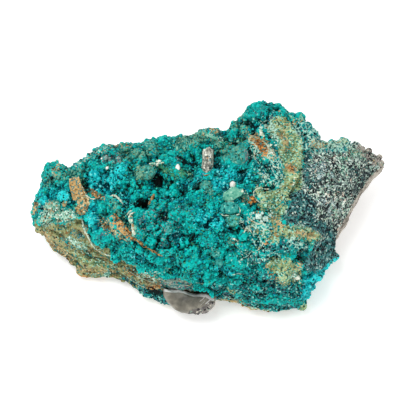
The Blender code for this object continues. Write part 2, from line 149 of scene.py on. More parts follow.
def put(tree: NodeTree, kind: str, inputs: dict[str | int, Any] | None = None, **settings: Any) -> Node:
    """Adds a node with its settings, values and links.

    Args:
        tree: The node tree, for a shader or for geometry.
        kind: The node's type.
        inputs: For each input, by name or number, a value, a socket, or a node for its first socket.
        **settings: The node's own properties.

    Returns:
        The new node.
    """
    node = tree.nodes.new(kind)
    for name, value in settings.items():
        setattr(node, name, value)
    for key, value in (inputs or {}).items():
        source = value.outputs[0] if isinstance(value, Node) else value
        if isinstance(source, NodeSocket):
            tree.links.new(source, node.inputs[key])
        else:
            node.inputs[key].default_value = source
    return node


def swayed(tree: NodeTree, colour: NodeSocket, reach: Feed | float) -> Node:
    """Turns a noise's colour into a shift, which is as long as the reach where the colour swings by 1."""
    centred = put(tree, "ShaderNodeVectorMath", {0: colour, 1: (0.5, 0.5, 0.5)}, operation="SUBTRACT")
    return put(tree, "ShaderNodeVectorMath", {0: centred, "Scale": reach}, operation="SCALE")


def ramp(values: np.ndarray, start: float, width: float) -> np.ndarray:
    """Climbs from 0 at the start to 1 a width further on."""
    return np.clip((values - start) / width, 0.0, 1.0)


def across_and_up(points: np.ndarray) -> np.ndarray:
    """Turns points in metres into the across and up, in millimetres, where they are seen."""
    up = (points[:, 1] / MM - FOOTPRINT_SHIFT) * SIN_E + points[:, 2] / MM * COS_E
    return np.stack([points[:, 0] / MM, up], axis=1)


def distance_to_line(points: np.ndarray, line: tuple[Place, ...]) -> np.ndarray:
    """Distance from each point to a line through the given places.

    Args:
        points: Places as rows of across and up.
        line: The line's places. One place is a line of no length.

    Returns:
        The distances, in millimetres.
    """
    corners = np.array(line if len(line) > 1 else (line[0], line[0]), float)
    best = np.full(len(points), np.inf)
    for start, end in zip(corners, corners[1:]):
        run = end - start
        share = np.clip((points - start) @ run / max(run @ run, 1e-9), 0.0, 1.0)
        best = np.minimum(best, np.linalg.norm(points - start - share[:, None] * run, axis=1))
    return best


def vertex_array(mesh: Mesh, what: str = "co") -> np.ndarray:
    """Reads a vector of every vertex.

    Args:
        mesh: The mesh to read.
        what: "co" for the places or "normal" for the normals.

    Returns:
        An array of one row for each vertex.
    """
    values = np.zeros(len(mesh.vertices) * 3, np.float32)
    if what == "co":
        mesh.vertices.foreach_get("co", values)
    else:
        mesh.vertex_normals.foreach_get("vector", values)
    return values.reshape(-1, 3).astype(float)


def set_places(mesh: Mesh, points: np.ndarray) -> None:
    """Moves a mesh's vertices to the given points, in metres."""
    mesh.vertices.foreach_set("co", points.astype(np.float32).ravel())
    mesh.update()


def store(mesh: Mesh, name: str, values: np.ndarray | float) -> None:
    """Keeps a number for each vertex, or one for all, as a named attribute."""
    layer = mesh.attributes.get(name) or mesh.attributes.new(name, "FLOAT", "POINT")
    layer.data.foreach_set("value", np.broadcast_to(values, len(mesh.vertices)).astype(np.float32))


def new_object(name: str, mesh: Mesh) -> Object:
    """Puts a mesh in the scene as an object at the origin.

    Args:
        name: The object's name.
        mesh: Its mesh, in metres.

    Returns:
        The object.
    """
    obj = bpy.data.objects.new(name, mesh)
    bpy.context.scene.collection.objects.link(obj)
    return obj


def settled(obj: Object) -> Object:
    """Makes what the object's modifiers give its plain mesh, and removes them.

    Args:
        obj: The object with live modifiers.

    Returns:
        The same object.
    """
    graph = bpy.context.evaluated_depsgraph_get()
    graph.update()
    mesh = bpy.data.meshes.new_from_object(
        obj.evaluated_get(graph), preserve_all_data_layers=True, depsgraph=graph
    )
    obj.modifiers.clear()
    obj.data = mesh
    return obj


def merged_copy(node: Object, name: str) -> Object:
    """Copies a solid's loose triangles into one joined-up mesh.

    Args:
        node: The solid's object.
        name: The copy's name.

    Returns:
        The copy.
    """
    mesh = bmesh.new()
    mesh.from_mesh(node.data)
    bmesh.ops.remove_doubles(mesh, verts=mesh.verts, dist=MERGE_DISTANCE * MM)
    joined = bpy.data.meshes.new(name)
    mesh.to_mesh(joined)
    mesh.free()
    return new_object(name, joined)


def refined(obj: Object, voxel: float, rounds: int) -> Object:
    """Remeshes a form evenly and softens its facets.

    Args:
        obj: The form.
        voxel: The size of the new mesh's cells, in millimetres.
        rounds: How often it is smoothed.

    Returns:
        The same object.
    """
    remesh = obj.modifiers.new("remesh", "REMESH")
    remesh.mode = "VOXEL"
    remesh.voxel_size = voxel * MM
    soften = obj.modifiers.new("soften", "SMOOTH")
    soften.factor = 0.5
    soften.iterations = rounds
    return settled(obj)


def run_tree(obj: Object, tree: NodeTree, values: dict[str, Any]) -> Object:
    """Runs a geometry tree on an object and keeps its result as the object's mesh.

    Args:
        obj: The object that the tree starts from.
        tree: The geometry tree.
        values: The tree's inputs by name.

    Returns:
        The same object.
    """
    modifier = obj.modifiers.new(tree.name, "NODES")
    modifier.node_group = tree
    for item in tree.interface.items_tree:
        if item.in_out == "INPUT" and item.name in values:
            modifier[item.identifier] = values[item.name]
    return settled(obj)


def finish_piece(obj: Object, material: Material, slot: str, *nodes: str) -> None:
    """Dresses a finished piece and ties it to the frame.

    Args:
        obj: The piece, with its final mesh.
        material: Its finish.
        slot: The name of a material slot; not used.
        *nodes: The solids that it stands for.
    """
    obj.data.materials.clear()
    obj.data.materials.append(material)
    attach(obj, BODY)
    if nodes:
        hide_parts(*nodes)
    obj.data.calc_loop_triangles()
    log.info("%s: %d triangles", obj.name, len(obj.data.loop_triangles))


class Surface:
    """A dressed surface that smaller things are seated on."""

    def __init__(self, *objects: Object) -> None:
        """Gathers the objects' faces.

        Args:
            *objects: The objects whose surfaces count.
        """
        points: list[Any] = []
        faces: list[Any] = []
        for obj in objects:
            start = len(points)
            points += [v.co.copy() for v in obj.data.vertices]
            faces += [[start + i for i in p.vertices] for p in obj.data.polygons]
        self.tree = BVHTree.FromPolygons(points, faces)

    def seat(self, place: Place) -> tuple[Vector, Vector]:
        """Finds the surface at a place on the display face.

        Args:
            place: The place's across and up, in millimetres.

        Returns:
            The point on the surface, in metres, and its outward normal.
        """
        foot = Vector((place[0], place[1] / SIN_E + FOOTPRINT_SHIFT, 0.0))
        start = (foot + TOWARD_VIEWER * VIEW_REACH) * MM
        point, normal, _, _ = self.tree.ray_cast(start, -TOWARD_VIEWER)
        if point is None:
            point, normal, _, _ = self.tree.find_nearest((foot + TOWARD_VIEWER * FACE_HEIGHT) * MM)
        return point, normal


def laid(rows: dict[Tone, tuple[tuple[Any, ...], ...]]) -> tuple[Patch, ...]:
    """Makes patches from rows listed tone by tone, each with what a Patch takes after its tone."""
    return tuple(Patch(tone, *row) for tone, stretches in rows.items() for row in stretches)


# ---------------------------------------------------------------------------------------------------
# Where the tones lie on the display face. Each row has the stretch's half width, the places along its
# middle, and where they aren't the usual ones its strength and the width of its fraying edge.
# ---------------------------------------------------------------------------------------------------

FACE_PATCHES = laid({
    # Brighter blue-green beads: the left end, the middle and the lower right edge.
    Tone.AZURE: (
        (3.2, ((-50, 3), (-45, 6), (-43.4, 3.4)), 0.64, 2.5), (2.6, ((-35.5, 1), (-34.5, -5)), 0.66, 2),
        (3.4, ((-35, 8.6), (-30.5, 8.8), (-27, 11.4)), 0.68, 2.5),
        (1.6, ((-26.4, 4.6), (-23.6, 3)), 0.6, 1.5), (2, ((-23, -13.8), (-20, -15.6)), 0.54, 2),
        (1.8, ((-33.6, 7.6), (-30.6, 6.8))), (1.8, ((3.4, -18), (6.4, -19.2)), 0.6),
        (3, ((-6.6, 7.6), (-2, 9)), 0.6, 3), (3.4, ((3.4, 12), (7.4, 10.4), (12, 10.6)), 0.6, 3),
        (4, ((-1, -2.5), (3.4, -3.4)), 0.64, 3.5), (2, ((3, 8.4), (6.2, 7)), 0.85, 1.5),
        (1.6, ((-12, 4.8), (-9.6, 3)), 0.6, 1.5), (1.6, ((14.6, 26.4), (16.8, 25.2)), 0.58, 1.5),
        (1.5, ((-11.2, -6.4), (-9.2, -8.6)), 0.75, 1.5),
        (2.4, ((30.5, -25.8), (31.8, -22.2), (36.3, -19), (39.9, -15.9)), 0.9),
    ),
    # Night-dark beads with pale sparks: the front edge, the right shoulder, between the cells.
    Tone.NIGHT: (
        (1.2, ((-33.4, -9), (-31, -6.8)), 0.7), (1.3, ((-52.6, 1.8), (-50.2, -0.4)), 0.8),
        (2.2, ((14.2, 28.4), (17.4, 30.6)), 0.56, 1.8),
        (1, ((20.9, 31.2), (20.3, 28.6), (19.2, 26.8)), 0.8, 1),
        (1.8, ((-8, 1), (-4.8, -0.8)), 0.58, 1.8), (1.7, ((-0.2, -10.2), (2.2, -12)), 0.54, 1.5),
        (1.8, ((7.2, -14.2), (9.8, -15.4)), 0.55, 1.5),
        (2.6, ((16, 13.4), (20.4, 13.8), (21.6, 9.6), (17.6, 9.6)), 0.62, 1.5),
        (1.6, ((22, 3.4), (25.8, 2.2)), 0.8, 0.8),
        (2.3, ((17.4, -11.4), (21, -12.4), (23.8, -11)), 0.85, 1.5),
        (2.2, ((13.6, -14.2), (17.8, -15.8)), 0.7, 1.8), (2.8, ((26, -10), (28.7, -11.4)), 0.66),
        (4, ((16, -20.8), (20.6, -23.6), (26, -24.9)), 0.7, 3),
        (2.8, ((8.6, -24.6), (12.9, -25.4), (17.6, -26.4)), 0.68, 2),
        (2.2, ((3.6, -24.8), (6.4, -26.6)), 0.92), (2.8, ((29.6, 25.2), (32.7, 23.8), (34.1, 21)), 0.66),
        (1.4, ((30.7, 17.9), (31.4, 16.6)), 0.8, 1), (2.4, ((31, 20.6), (37, 20.4), (43, 20.8)), 0.72, 1),
        (1.3, ((22.4, 14.6), (22.8, 12.6)), 0.66, 1),
    ),
    # Duller green clumps along the back edge and round the deep gaps.
    Tone.GREEN: (
        (2.2, ((-49.5, 8.6), (-44, 10.8), (-38.6, 12.4)), 0.6, 1.8),
        (1.8, ((-28.5, 2.6), (-26.7, -1.4), (-24.5, -5)), 0.62, 1.6),
        (3, ((-26.4, 17.5), (-20, 17.6), (-16.8, 19.2)), 0.64, 2.5),
        (2.6, ((-8, 20.5), (-5.1, 22), (-1.5, 22.9)), 0.64),
        (2.6, ((3, 21.1), (4.8, 17.5), (7, 19.8)), 0.64, 2),
        (2.6, ((8.8, 26.5), (12.4, 27.4), (11.5, 22)), 0.6, 2.5), (2.6, ((-20.4, 11.2),), 0.85),
        (2, ((-0.4, 7.6), (0.8, 6.4)), 0.72), (1.8, ((6.9, -3.2), (8.2, -3.2)), 0.8),
    ),
    # Bare tan film at the left end, and tan stains in the olive band and along the edges.
    Tone.TAN: (
        (1.7, ((-40.6, 8.6), (-39.4, 5.4), (-37.4, 2.6), (-38.5, 0.4)), 1, 0.5),
        (1.3, ((-47.2, 12.4), (-45.8, 13.8)), 0.64), (0.6, ((-46.6, 10.8),), 0.8, 0.5),
        (0.7, ((-43.6, 2.2),), 0.8, 0.5), (0.7, ((-53.6, -0.6), (-52.4, 2.4)), 0.7, 0.5),
        (2, ((-31.5, -4), (-28, -6.4), (-25, -8.2)), 0.56),
        (0.7, ((-32.1, 20), (-25.8, 20), (-23.1, 20.2)), 0.6), (0.7, ((6.6, 21.1), (7.9, 21.1)), 0.6),
        (2.2, ((14.2, 22), (17.4, 20.7), (19.6, 16.8)), 0.62),
        (1.7, ((22.4, 23.8), (23.6, 22.4), (25, 19)), 0.52),
        (1.4, ((25.2, 13.2), (26.6, 12.4)), 0.86, 0.8), (0.6, ((24.6, 26.1), (28.7, 27.9)), 0.8),
        (1.8, ((20, -0.6), (21.5, -2.4), (22.4, -5.5)), 0.54), (1.4, ((12.9, -5.9), (16.9, -6.4)), 0.52),
        (1.4, ((28, -7), (33, -8)), 0.56), (0.6, ((18.3, -17.3), (19.6, -20.4), (23.7, -22.7)), 0.72),
        (1, ((28.2, -17.3), (29.1, -15.9)), 0.72),
        (0.6, ((6.6, -28.1), (10.2, -28.3), (12.9, -30.3)), 0.8),
        (1.5, ((32.8, 20.2), (35.8, 20.2)), 0.72), (1.1, ((39.6, 21.4), (41.2, 21.2)), 0.66),
    ),
    # Rust: streaks on the brown crest and spots on the right.
    Tone.RUST: (
        (1, ((-37.1, 7.1), (-34.9, 4.8), (-32.1, 4)), 0.66),
        (1, ((-28.2, -2.8), (-25.6, -6), (-23.6, -8.4)), 0.72), (0.6, ((-1.1, 23.2), (0.2, 23.4)), 0.72),
        (0.8, ((22.5, 30),), 0.6), (1.5, ((15.4, 20.4), (17, 18.8), (18, 17.8)), 0.82),
        (0.6, ((25.4, 13), (26.2, 12.6)), 0.56, 0.6), (0.9, ((12.9, 3.2), (13.6, 3.6)), 0.9, 0.6),
        (0.8, ((17.8, -10),), 0.8), (0.6, ((15.6, -0.5),), 0.8), (0.8, ((21.5, -7.8),), 0.75),
    ),
    # Bottle green in the shade of the gaps.
    Tone.FOREST: (
        (1.3, ((-38.4, 9), (-37.6, 7.4)), 0.9, 0.8), (1.6, ((-30.2, 13.6), (-27.8, 13.2)), 0.62, 1.5),
        (1.6, ((5.4, 21.4), (7.4, 20.2)), 0.62, 1.5), (2, ((-15, 13.4), (-12.4, 12)), 0.72, 1.5),
        (1.9, ((-7.4, 11.4), (-4.8, 10.2)), 0.8, 1.5), (1.5, ((-11.4, 11.8), (-8.8, 10.2)), 0.66),
        (0.8, ((21.6, -19.6), (22.6, -18)), 0.8, 0.8),
    ),
    # Painted shade: the near-black bottoms of the gaps.
    Tone.DEEP: (
        (0.6, ((-38, 8.8), (-37.2, 7.8)), 0.8), (1.6, ((3.4, -25), (8.6, -26)), 0.5, 1.5),
        (1.6, ((13.2, -25.2), (17.6, -26.2)), 0.54, 1.5), (1.2, ((22.4, 4.2), (24.6, 2.6)), 0.44),
        (1.5, ((-14.6, 8.9), (-14, 9.6))), (0.9, ((-19.7, 8.4),)), (0.7, ((-29.4, 5.6), (-27.6, 5.4))),
        (1, ((-3.4, 7.2), (-1.8, 8.2))), (0.6, ((-7.4, 5.3), (-5.8, 5.6))),
        (1.3, ((-20.2, 2.4), (-18.4, 1.6))), (0.35, ((-11.6, -8.4), (-11, -10.8))),
        (0.9, ((-5, -7.2), (-3.8, -8))), (0.8, ((-4.6, -19.2),)), (0.4, ((-9.8, -11.4),)),
        (0.4, ((10.3, 11.8), (12.4, 12.4))),
        (0.5, ((12.9, 18.9), (13.7, 17.2), (13.6, 15.6), (12.7, 14.3)), 0.9, 0.4), (0.7, ((5.6, -2),)),
        (0.9, ((10.6, -4), (11.4, -4.8))), (0.7, ((7, -6.4),)), (0.7, ((18.2, 8), (18, 6.8))),
        (0.9, ((29.6, -14.8),)),
    ),
    # Mint blooms: the left end, the back edge and beside the olive band.
    Tone.MINT: (
        (2.2, ((-49.6, -3.2), (-47.8, 1.2), (-45.7, -1.9), (-42, -1.5)), 0.8),
        (0.9, ((-40.3, 14.3), (-37.1, 15.7), (-33.5, 18.6), (-30.3, 19.5)), 0.6),
        (0.9, ((0.3, 22.9), (4.3, 21.8)), 0.7), (1.4, ((18.4, 26), (20.1, 23.8), (21.9, 20.7)), 0.64),
        (1, ((12, 4.8), (11.2, 2.6)), 0.6, 0.8), (1.2, ((7, -9.4), (10.2, -11)), 0.52),
        (1.2, ((18.2, 0.6), (20.4, -0.6)), 0.54, 1), (1.1, ((28.2, -21.1), (27, -20)), 0.9),
        (0.7, ((-19, -19.3), (-14.6, -19.3), (-11.4, -18.4)), 0.52, 0.8),
        (1.3, ((36.4, 21.6), (38.4, 20), (41, 19.6)), 0.62, 1),
    ),
    # The bare shoulder under the left end's bloom.
    Tone.MOSS: (
        (2.2, ((-48.4, -6.4), (-42.6, -6.2), (-39.6, -4.6)), 0.95, 0.8),
    ),
    # Pale tips and cream skins, and one stretch of painted light.
    Tone.PALE: (
        (0.5, ((-30.6, 12.9),), 1, 0.4), (0.5, ((-17.2, 13.8), (-14, 14.6)), 0.75, 0.6),
        (1, ((19.2, 20), (19.8, 17.4)), 0.56, 0.8), (0.45, ((16.5, 24.7), (17.2, 22.9)), 1, 0.5),
        # Painted light over the shaded lip of the crust's edge beside the olive band.
        (1.2, ((27.6, 9), (26.8, 6.8)), 0.45),
    ),
    # Mauve-grey stains on the back edge and left of the middle.
    Tone.DUSK: (
        (1.4, ((-37, 17.6), (-33, 19.4)), 0.62), (1.8, ((-31.2, 16.6), (-27.6, 16.1)), 0.7),
        (1.2, ((1.6, 24.4), (4, 24.2)), 0.66), (1, ((-8.4, 15.4),), 0.7),
        (4.6, ((-19.8, -5.5), (-16.5, -1.6), (-12.3, -4), (-12.3, -10.5)), 0.42, 4),
        (1.1, ((-20.4, -2.6), (-19.6, -6)), 0.6), (0.9, ((-16.6, -1.2), (-11.4, -0.8)), 0.56),
    ),
    # The olive band down the right of the face, and its outliers.
    Tone.OLIVE: (
        (3.6, ((22.4, 25.2), (25, 23.4), (26, 19.3), (26.4, 16))),
        (2.8, ((26.2, 15), (26.6, 11.6), (26.6, 8.2), (24, 5.4))),
        (1.6, ((22.8, 19.4), (23.4, 17.6)), 0.9),
        (1.6, ((16.2, 6), (17.4, 4.4), (19.7, 4.4), (21.2, 4.8)), 0.9, 0.8),
        (2.2, ((17.8, 1.4), (20.6, 1.8), (22.4, 0.4)), 0.8, 1),
        (2.4, ((20.4, -1.8), (22, -5.5), (20.6, -8.2)), 0.68), (2.2, ((14, -5.5), (17.5, -7)), 0.52),
        (2.2, ((25.2, -6.6), (30.4, -6.9), (33.2, -8.2)), 0.9),
        (3, ((21, -16.8), (24.6, -17.7), (26.4, -19.5), (23.7, -20.9)), 0.72),
        (0.9, ((6.6, -24.6), (8.2, -25.4)), 0.8, 0.6), (1.2, ((29.6, -29.5),), 0.7),
        (1.3, ((38.4, 22), (42.4, 21.4)), 0.62, 1),
    ),
    # Mint-rimmed cells round the olive band, on the front edge and on the shoulder.
    Tone.LACE: (
        (2.2, ((17.8, 26.6), (20.8, 25.2)), 0.66), (2.1, ((18.6, 16.4), (21.4, 14.4), (22, 11)), 0.62),
        (2.4, ((17.4, 10.2), (21.4, 8.4)), 0.62), (3.6, ((13.3, -3.7), (17.4, -5), (16.4, -8.4)), 0.55),
        (2.4, ((26, -9.6), (28.7, -10.9)), 0.62), (3, ((12, -14), (20, -14.5)), 0.47),
        (3.2, ((29.6, 25.2), (32.7, 23.8), (34.1, 22)), 0.7),
        (2.6, ((31, 20.6), (37, 20.4), (43, 20.8)), 0.6, 1), (1.6, ((13.8, 21.8), (15.2, 16.8)), 0.6, 1),
    ),
    # Slate-dark strips between the crust and the bare right end.
    Tone.SLATE: (
        (1.5, ((24.6, -2.6), (28.4, -3.2), (32, -4.2)), 0.85, 1),
        (3, ((32.7, -16.4), (35.9, -14.1), (39, -11.9))),
    ),
    # Round the crystal's foot and under the chips and domes no beads grow.
    Tone.BARE: (
        (1.9, ((0.6, 13.4), (0.6, 11.6)), 1, 0.5), (1.5, ((5.8, 4.4), (8, 5), (10.6, 5.6)), 1, 0.5),
        (3.2, ((9.8, 16.6),), 1, 0.5), (2, ((6.2, 0.7), (7.6, 0.7)), 1, 0.5),
        (1.9, ((8.1, -3.2),), 1, 0.5), (1.6, ((15.8, -2), (18, -2.6)), 1, 0.5),
        (0.8, ((-38.6, -3.4), (-37.3, -6.6), (-35.2, -10.2), (-33.2, -12.6)), 1, 0.4),
    ),
})

ROCK_PATCHES = laid({
    # The left front wall, and the top of the layered band over the chalcedony.
    Tone.MOSS: (
        (6.5, ((-52, -7), (-43, -13), (-33, -17.5), (-24, -19.5)), 1, 3),
        (1.4, ((-12.6, -21.6), (-6, -21.6), (0.6, -22.8)), 0.56, 1),
    ),
    # Tan beds in the left front wall, the layered band, the front edge and the shoulder.
    Tone.TAN: (
        (2.6, ((-50.5, -8), (-47, -12), (-43, -15.5)), 0.58, 2),
        (1.6, ((-40, -18.5), (-34, -19.5), (-29, -19)), 0.56, 1.5),
        (1.8, ((-25, -18), (-20, -20.6), (-14, -22.6)), 0.5, 1.5),
        (0.7, ((5, -27.6), (8.6, -28.8), (13, -30.6), (19, -31.8)), 0.9, 0.5),
        (1, ((34.4, 19.9), (40.2, 20.8)), 0.56, 1),
    ),
    # Olive beds beside the tan ones.
    Tone.OLIVE: (
        (1.6, ((-41, -14), (-34, -16.8), (-29, -17.6)), 0.62, 1.5),
        (0.9, ((4.2, -27.8), (5.2, -27.9)), 0.9, 0.6),
    ),
    # Rusty seams.
    Tone.RUST: (
        (0.7, ((-51.5, -9), (-47.8, -13.6), (-42.4, -18), (-39, -21), (-30, -22)), 0.7),
        (0.5, ((-18, -24), (-14.5, -23.6)), 0.9, 0.6), (0.9, ((-23.4, -19.8), (-21.8, -20.2)), 0.66, 0.8),
    ),
    # Dark wall under the crust's edge, and dark spots on the walls and the shoulder.
    Tone.NIGHT: (
        (1.6, ((-44.5, -9), (-39, -11.4)), 0.58, 1.5), (1.2, ((-41, -6.6), (-38.4, -8.2)), 0.58),
        (3.4, ((-25, -24.2), (-20, -27), (-13.5, -30)), 0.95, 1),
        (2.6, ((4, -26.6), (8, -29), (18, -31.5), (28, -30)), 0.66, 2),
        (2, ((32, 19.4), (38, 19.2), (43, 19.4)), 0.72),
    ),
    # Mint blooms on the left wall, the layered band and the bare right end.
    Tone.MINT: (
        (1.4, ((-42, -9), (-38.6, -10.8), (-37, -12.6)), 0.62),
        (0.8, ((-31.2, -20.6), (-30.4, -19.6)), 1, 0.5),
        (1.2, ((-22.6, -19), (-17, -21.4), (-13, -21.6)), 0.54),
        (0.9, ((42.2, 12.8), (42.8, 12.2)), 0.72, 0.8), (1.1, ((41.6, 16.2), (43.6, 15.8)), 0.64, 1),
        (1.6, ((45.4, 18), (47.8, 17.2)), 0.68), (1, ((39.5, -0.4), (40, -1.4)), 0.66, 1),
        (1, ((43.4, 20.2), (45.4, 19.4)), 0.55, 1),
    ),
    # The grey layered band over the chalcedony.
    Tone.DUSK: (
        (2, ((-22, -19.6), (-17, -21.6), (-13, -22.4)), 0.52, 1.5),
        (2.2, ((-12.6, -22.4), (-6, -22.4), (1, -23.6), (4, -24.8)), 1, 1),
    ),
    # Copper green in the dark wall and in the layered band.
    Tone.GREEN: (
        (1.2, ((-22.6, -24.6), (-17, -27.4)), 0.56, 1), (1.2, ((-4, -22.6), (2.6, -24.4)), 0.56, 1),
    ),
    # Painted shade in the gap left of the chalcedony.
    Tone.DEEP: (
        (1.3, ((-17.4, -24.9), (-14, -25.6)), 0.85, 0.8),
    ),
    # The crust's colour run over the right front wall.
    Tone.TEAL: (
        (5, ((6, -28), (14, -30), (26, -31), (33, -29)), 0.95, 2),
    ),
    # Its brightest run, at the lower right edge.
    Tone.AZURE: (
        (2.6, ((31, -25), (34.3, -22), (37.2, -19), (40.4, -14.5)), 0.9),
    ),
    # The salt-and-pepper grain of the bare right end.
    Tone.SPECK: (
        (30, ((48, 8),), 1, 4),
    ),
    # Slate-dark rock beside the crust.
    Tone.SLATE: (
        (2.4, ((30.6, 11), (31.8, 7.6)), 0.66, 2), (3.2, ((26, 2.2), (28.8, 3), (30.6, 0.8)), 0.92, 1.4),
        (2.4, ((31, -12), (35.5, -11.5), (39.5, -9)), 0.95, 1.5),
        (2.4, ((31.5, -16.5), (35.5, -15), (39, -12.5)), 0.85, 1.5),
        (2.2, ((29, -1.8), (34, -4.6), (37.4, -6.8)), 0.85, 1.5),
        (1.6, ((30.8, 17), (30.4, 12)), 0.72, 1.5),
    ),
    # Pale blue-grey haze.
    Tone.FROST: (
        (2.4, ((32.6, 14), (35.4, 13.6), (34.3, 9)), 0.62, 2.5),
        (1.8, ((34, 3), (38.6, 2.4), (40.4, 0)), 0.58, 2),
    ),
    # Black clusters.
    Tone.INK: (
        (1.5, ((49.9, 11.6), (47.5, 8.3), (45.3, 5.2)), 0.72),
        (2.6, ((42.6, 14.4), (46.4, 11.4), (48.4, 9.4)), 0.6, 2.5), (1.2, ((39, 8.9), (42.2, 6.2)), 0.6),
        (1, ((37.6, -3.8), (38.6, -5)), 0.64, 1), (1.3, ((40.4, 18), (44.4, 17.6)), 0.64),
    ),
    # Grey-brown rock at the tip.
    Tone.UMBER: (
        (2.4, ((47.4, 18.6), (50.8, 17.6), (53.4, 15.4)), 0.62, 1.6),
    ),
    # Mint-rimmed cells on the shoulder.
    Tone.LACE: (
        (2, ((32, 18.6), (38, 18.6), (43, 18.8)), 0.56),
    ),
    # The worn upper edge of the right end's side.
    Tone.BEIGE: (
        (1.5, ((55.4, 12.6), (51.8, 9.2), (48, 3.8), (44.2, -3.2), (41.6, -8)), 1, 0.4),
    ),
})

CHALCEDONY_PATCHES: tuple[Patch, ...] = (
    Patch(Tone.UMBER, 1.5, ((-4, -32), (-1, -31.4), (1.6, -29.6)), 1, 0.7),
    Patch(Tone.ASH, 0.22, ((-0.2, -25.9), (-1, -27.2), (-2.1, -28.1)), 0.7, 0.3),
    Patch(Tone.ASH, 0.14, ((0.7, -26.1), (-0.3, -27.7), (-1.9, -29.3)), 0.75, 0.25),
    Patch(Tone.ASH, 0.2, ((1.8, -26.8), (0.6, -28), (-0.3, -28.8)), 0.8, 0.3),
    # The pale rim along the lump's top edge, drawn wider than the rim itself: its lower part is painted
    # light over the strip that the overhang shades.
    Patch(
        Tone.ASH, 0.42,
        ((-13.4, -24.6), (-10.6, -24.9), (-8.5, -24.9), (-6.8, -25.1), (-5.2, -25.9), (-3.8, -26.2),
         (-2.2, -26.1), (-0.2, -26.3), (1.9, -27.5)),
        1, 0.35,
    ),
)

QUARTZ_PATCHES: tuple[Patch, ...] = (
    Patch(Tone.RUST, 0.7, ((-0.8, 11.2), (1.4, 11)), 0.7, 0.8),
    Patch(Tone.SLATE, 0.25, ((1.2, 17.6), (0.9, 15.8), (1.6, 14.4), (0.6, 12.8)), 0.75, 0.5),
    Patch(Tone.PALE, 0.6, ((-0.4, 18.4), (-0.2, 15.4)), 0.55, 0.8),
)


TURNED_FROM = -0.35  # how far a face is turned away where paint starts to reach it
TURNED_FADE = 0.3  # and how much less it is turned where the paint is full


def paint(mesh: Mesh, patches: tuple[Patch, ...]) -> dict[Tone, np.ndarray]:
    """Stores how strongly each tone lies at each vertex that isn't turned away from the display direction.

    Args:
        mesh: The mesh that is painted.
        patches: The stretches of the tones.

    Returns:
        For each tone, one number for each vertex: over a half, the tone shows.
    """
    seen = across_and_up(vertex_array(mesh))
    facing = ramp(vertex_array(mesh, "normal") @ OUTWARD, TURNED_FROM, TURNED_FADE)
    masks = {tone: np.zeros(len(seen)) for tone in Tone}
    for patch in patches:
        reach = distance_to_line(seen, patch.line)
        strength = patch.amount * np.clip(0.5 + (patch.half_width - reach) / (2.0 * patch.feather), 0.0, 1.0)
        masks[patch.tone] = np.maximum(masks[patch.tone], strength * facing)
    for tone, mask in masks.items():
        if mask.any():
            store(mesh, tone.layer, mask)
    return masks


# ---------------------------------------------------------------------------------------------------
# Finishes
# ---------------------------------------------------------------------------------------------------


@dataclass(frozen=True)
class Shades:
    """A tone's colour in its hollows, on its flats and on its crests, partly painted shade and painted
    light, and the flecks strewn through it.
    """

    dark: str
    middle: str
    light: str
    spread: float = 0.36
    flecks: tuple[tuple[str, float], ...] = ()

    def colour(self, tree: NodeTree, value: Feed, chance: Feed) -> NodeSocket:
        """Adds the tone's colour.

        Args:
            tree: The shader's tree.
            value: How light the tone is at each point, with the middle colour at a half.
            chance: A number from 0 to 1, the same all over one grain, which picks the flecks.

        Returns:
            The colour's socket.
        """
        add = partial(put, tree)
        node = add("ShaderNodeValToRGB", {0: value})
        stops = node.color_ramp.elements
        stops[0].position, stops[0].color = 0.5 - self.spread, linear(self.dark)
        stops[1].position, stops[1].color = 0.5 + self.spread, linear(self.light)
        stops.new(0.5).color = linear(self.middle)
        colour = node.outputs[0]
        start = 0.0
        for fleck, share in self.flecks:
            gap = add("ShaderNodeMath", {0: chance, 1: start + share / 2}, operation="SUBTRACT")
            picked = add("ShaderNodeMath", {0: gap, 1: 0.0, 2: share / 2}, operation="COMPARE")
            mixed = {0: picked, 6: colour, 7: linear(fleck)}
            colour = add("ShaderNodeMix", mixed, data_type="RGBA").outputs[2]
            start += share
        return colour


TURQUOISE = Shades("001a1c", "00827d", "06b8ae", 0.36, (
    ("01181a", 0.03), ("30c8bc", 0.06), ("007e98", 0.04), ("1a6e6a", 0.06), ("3c8c66", 0.03),
))

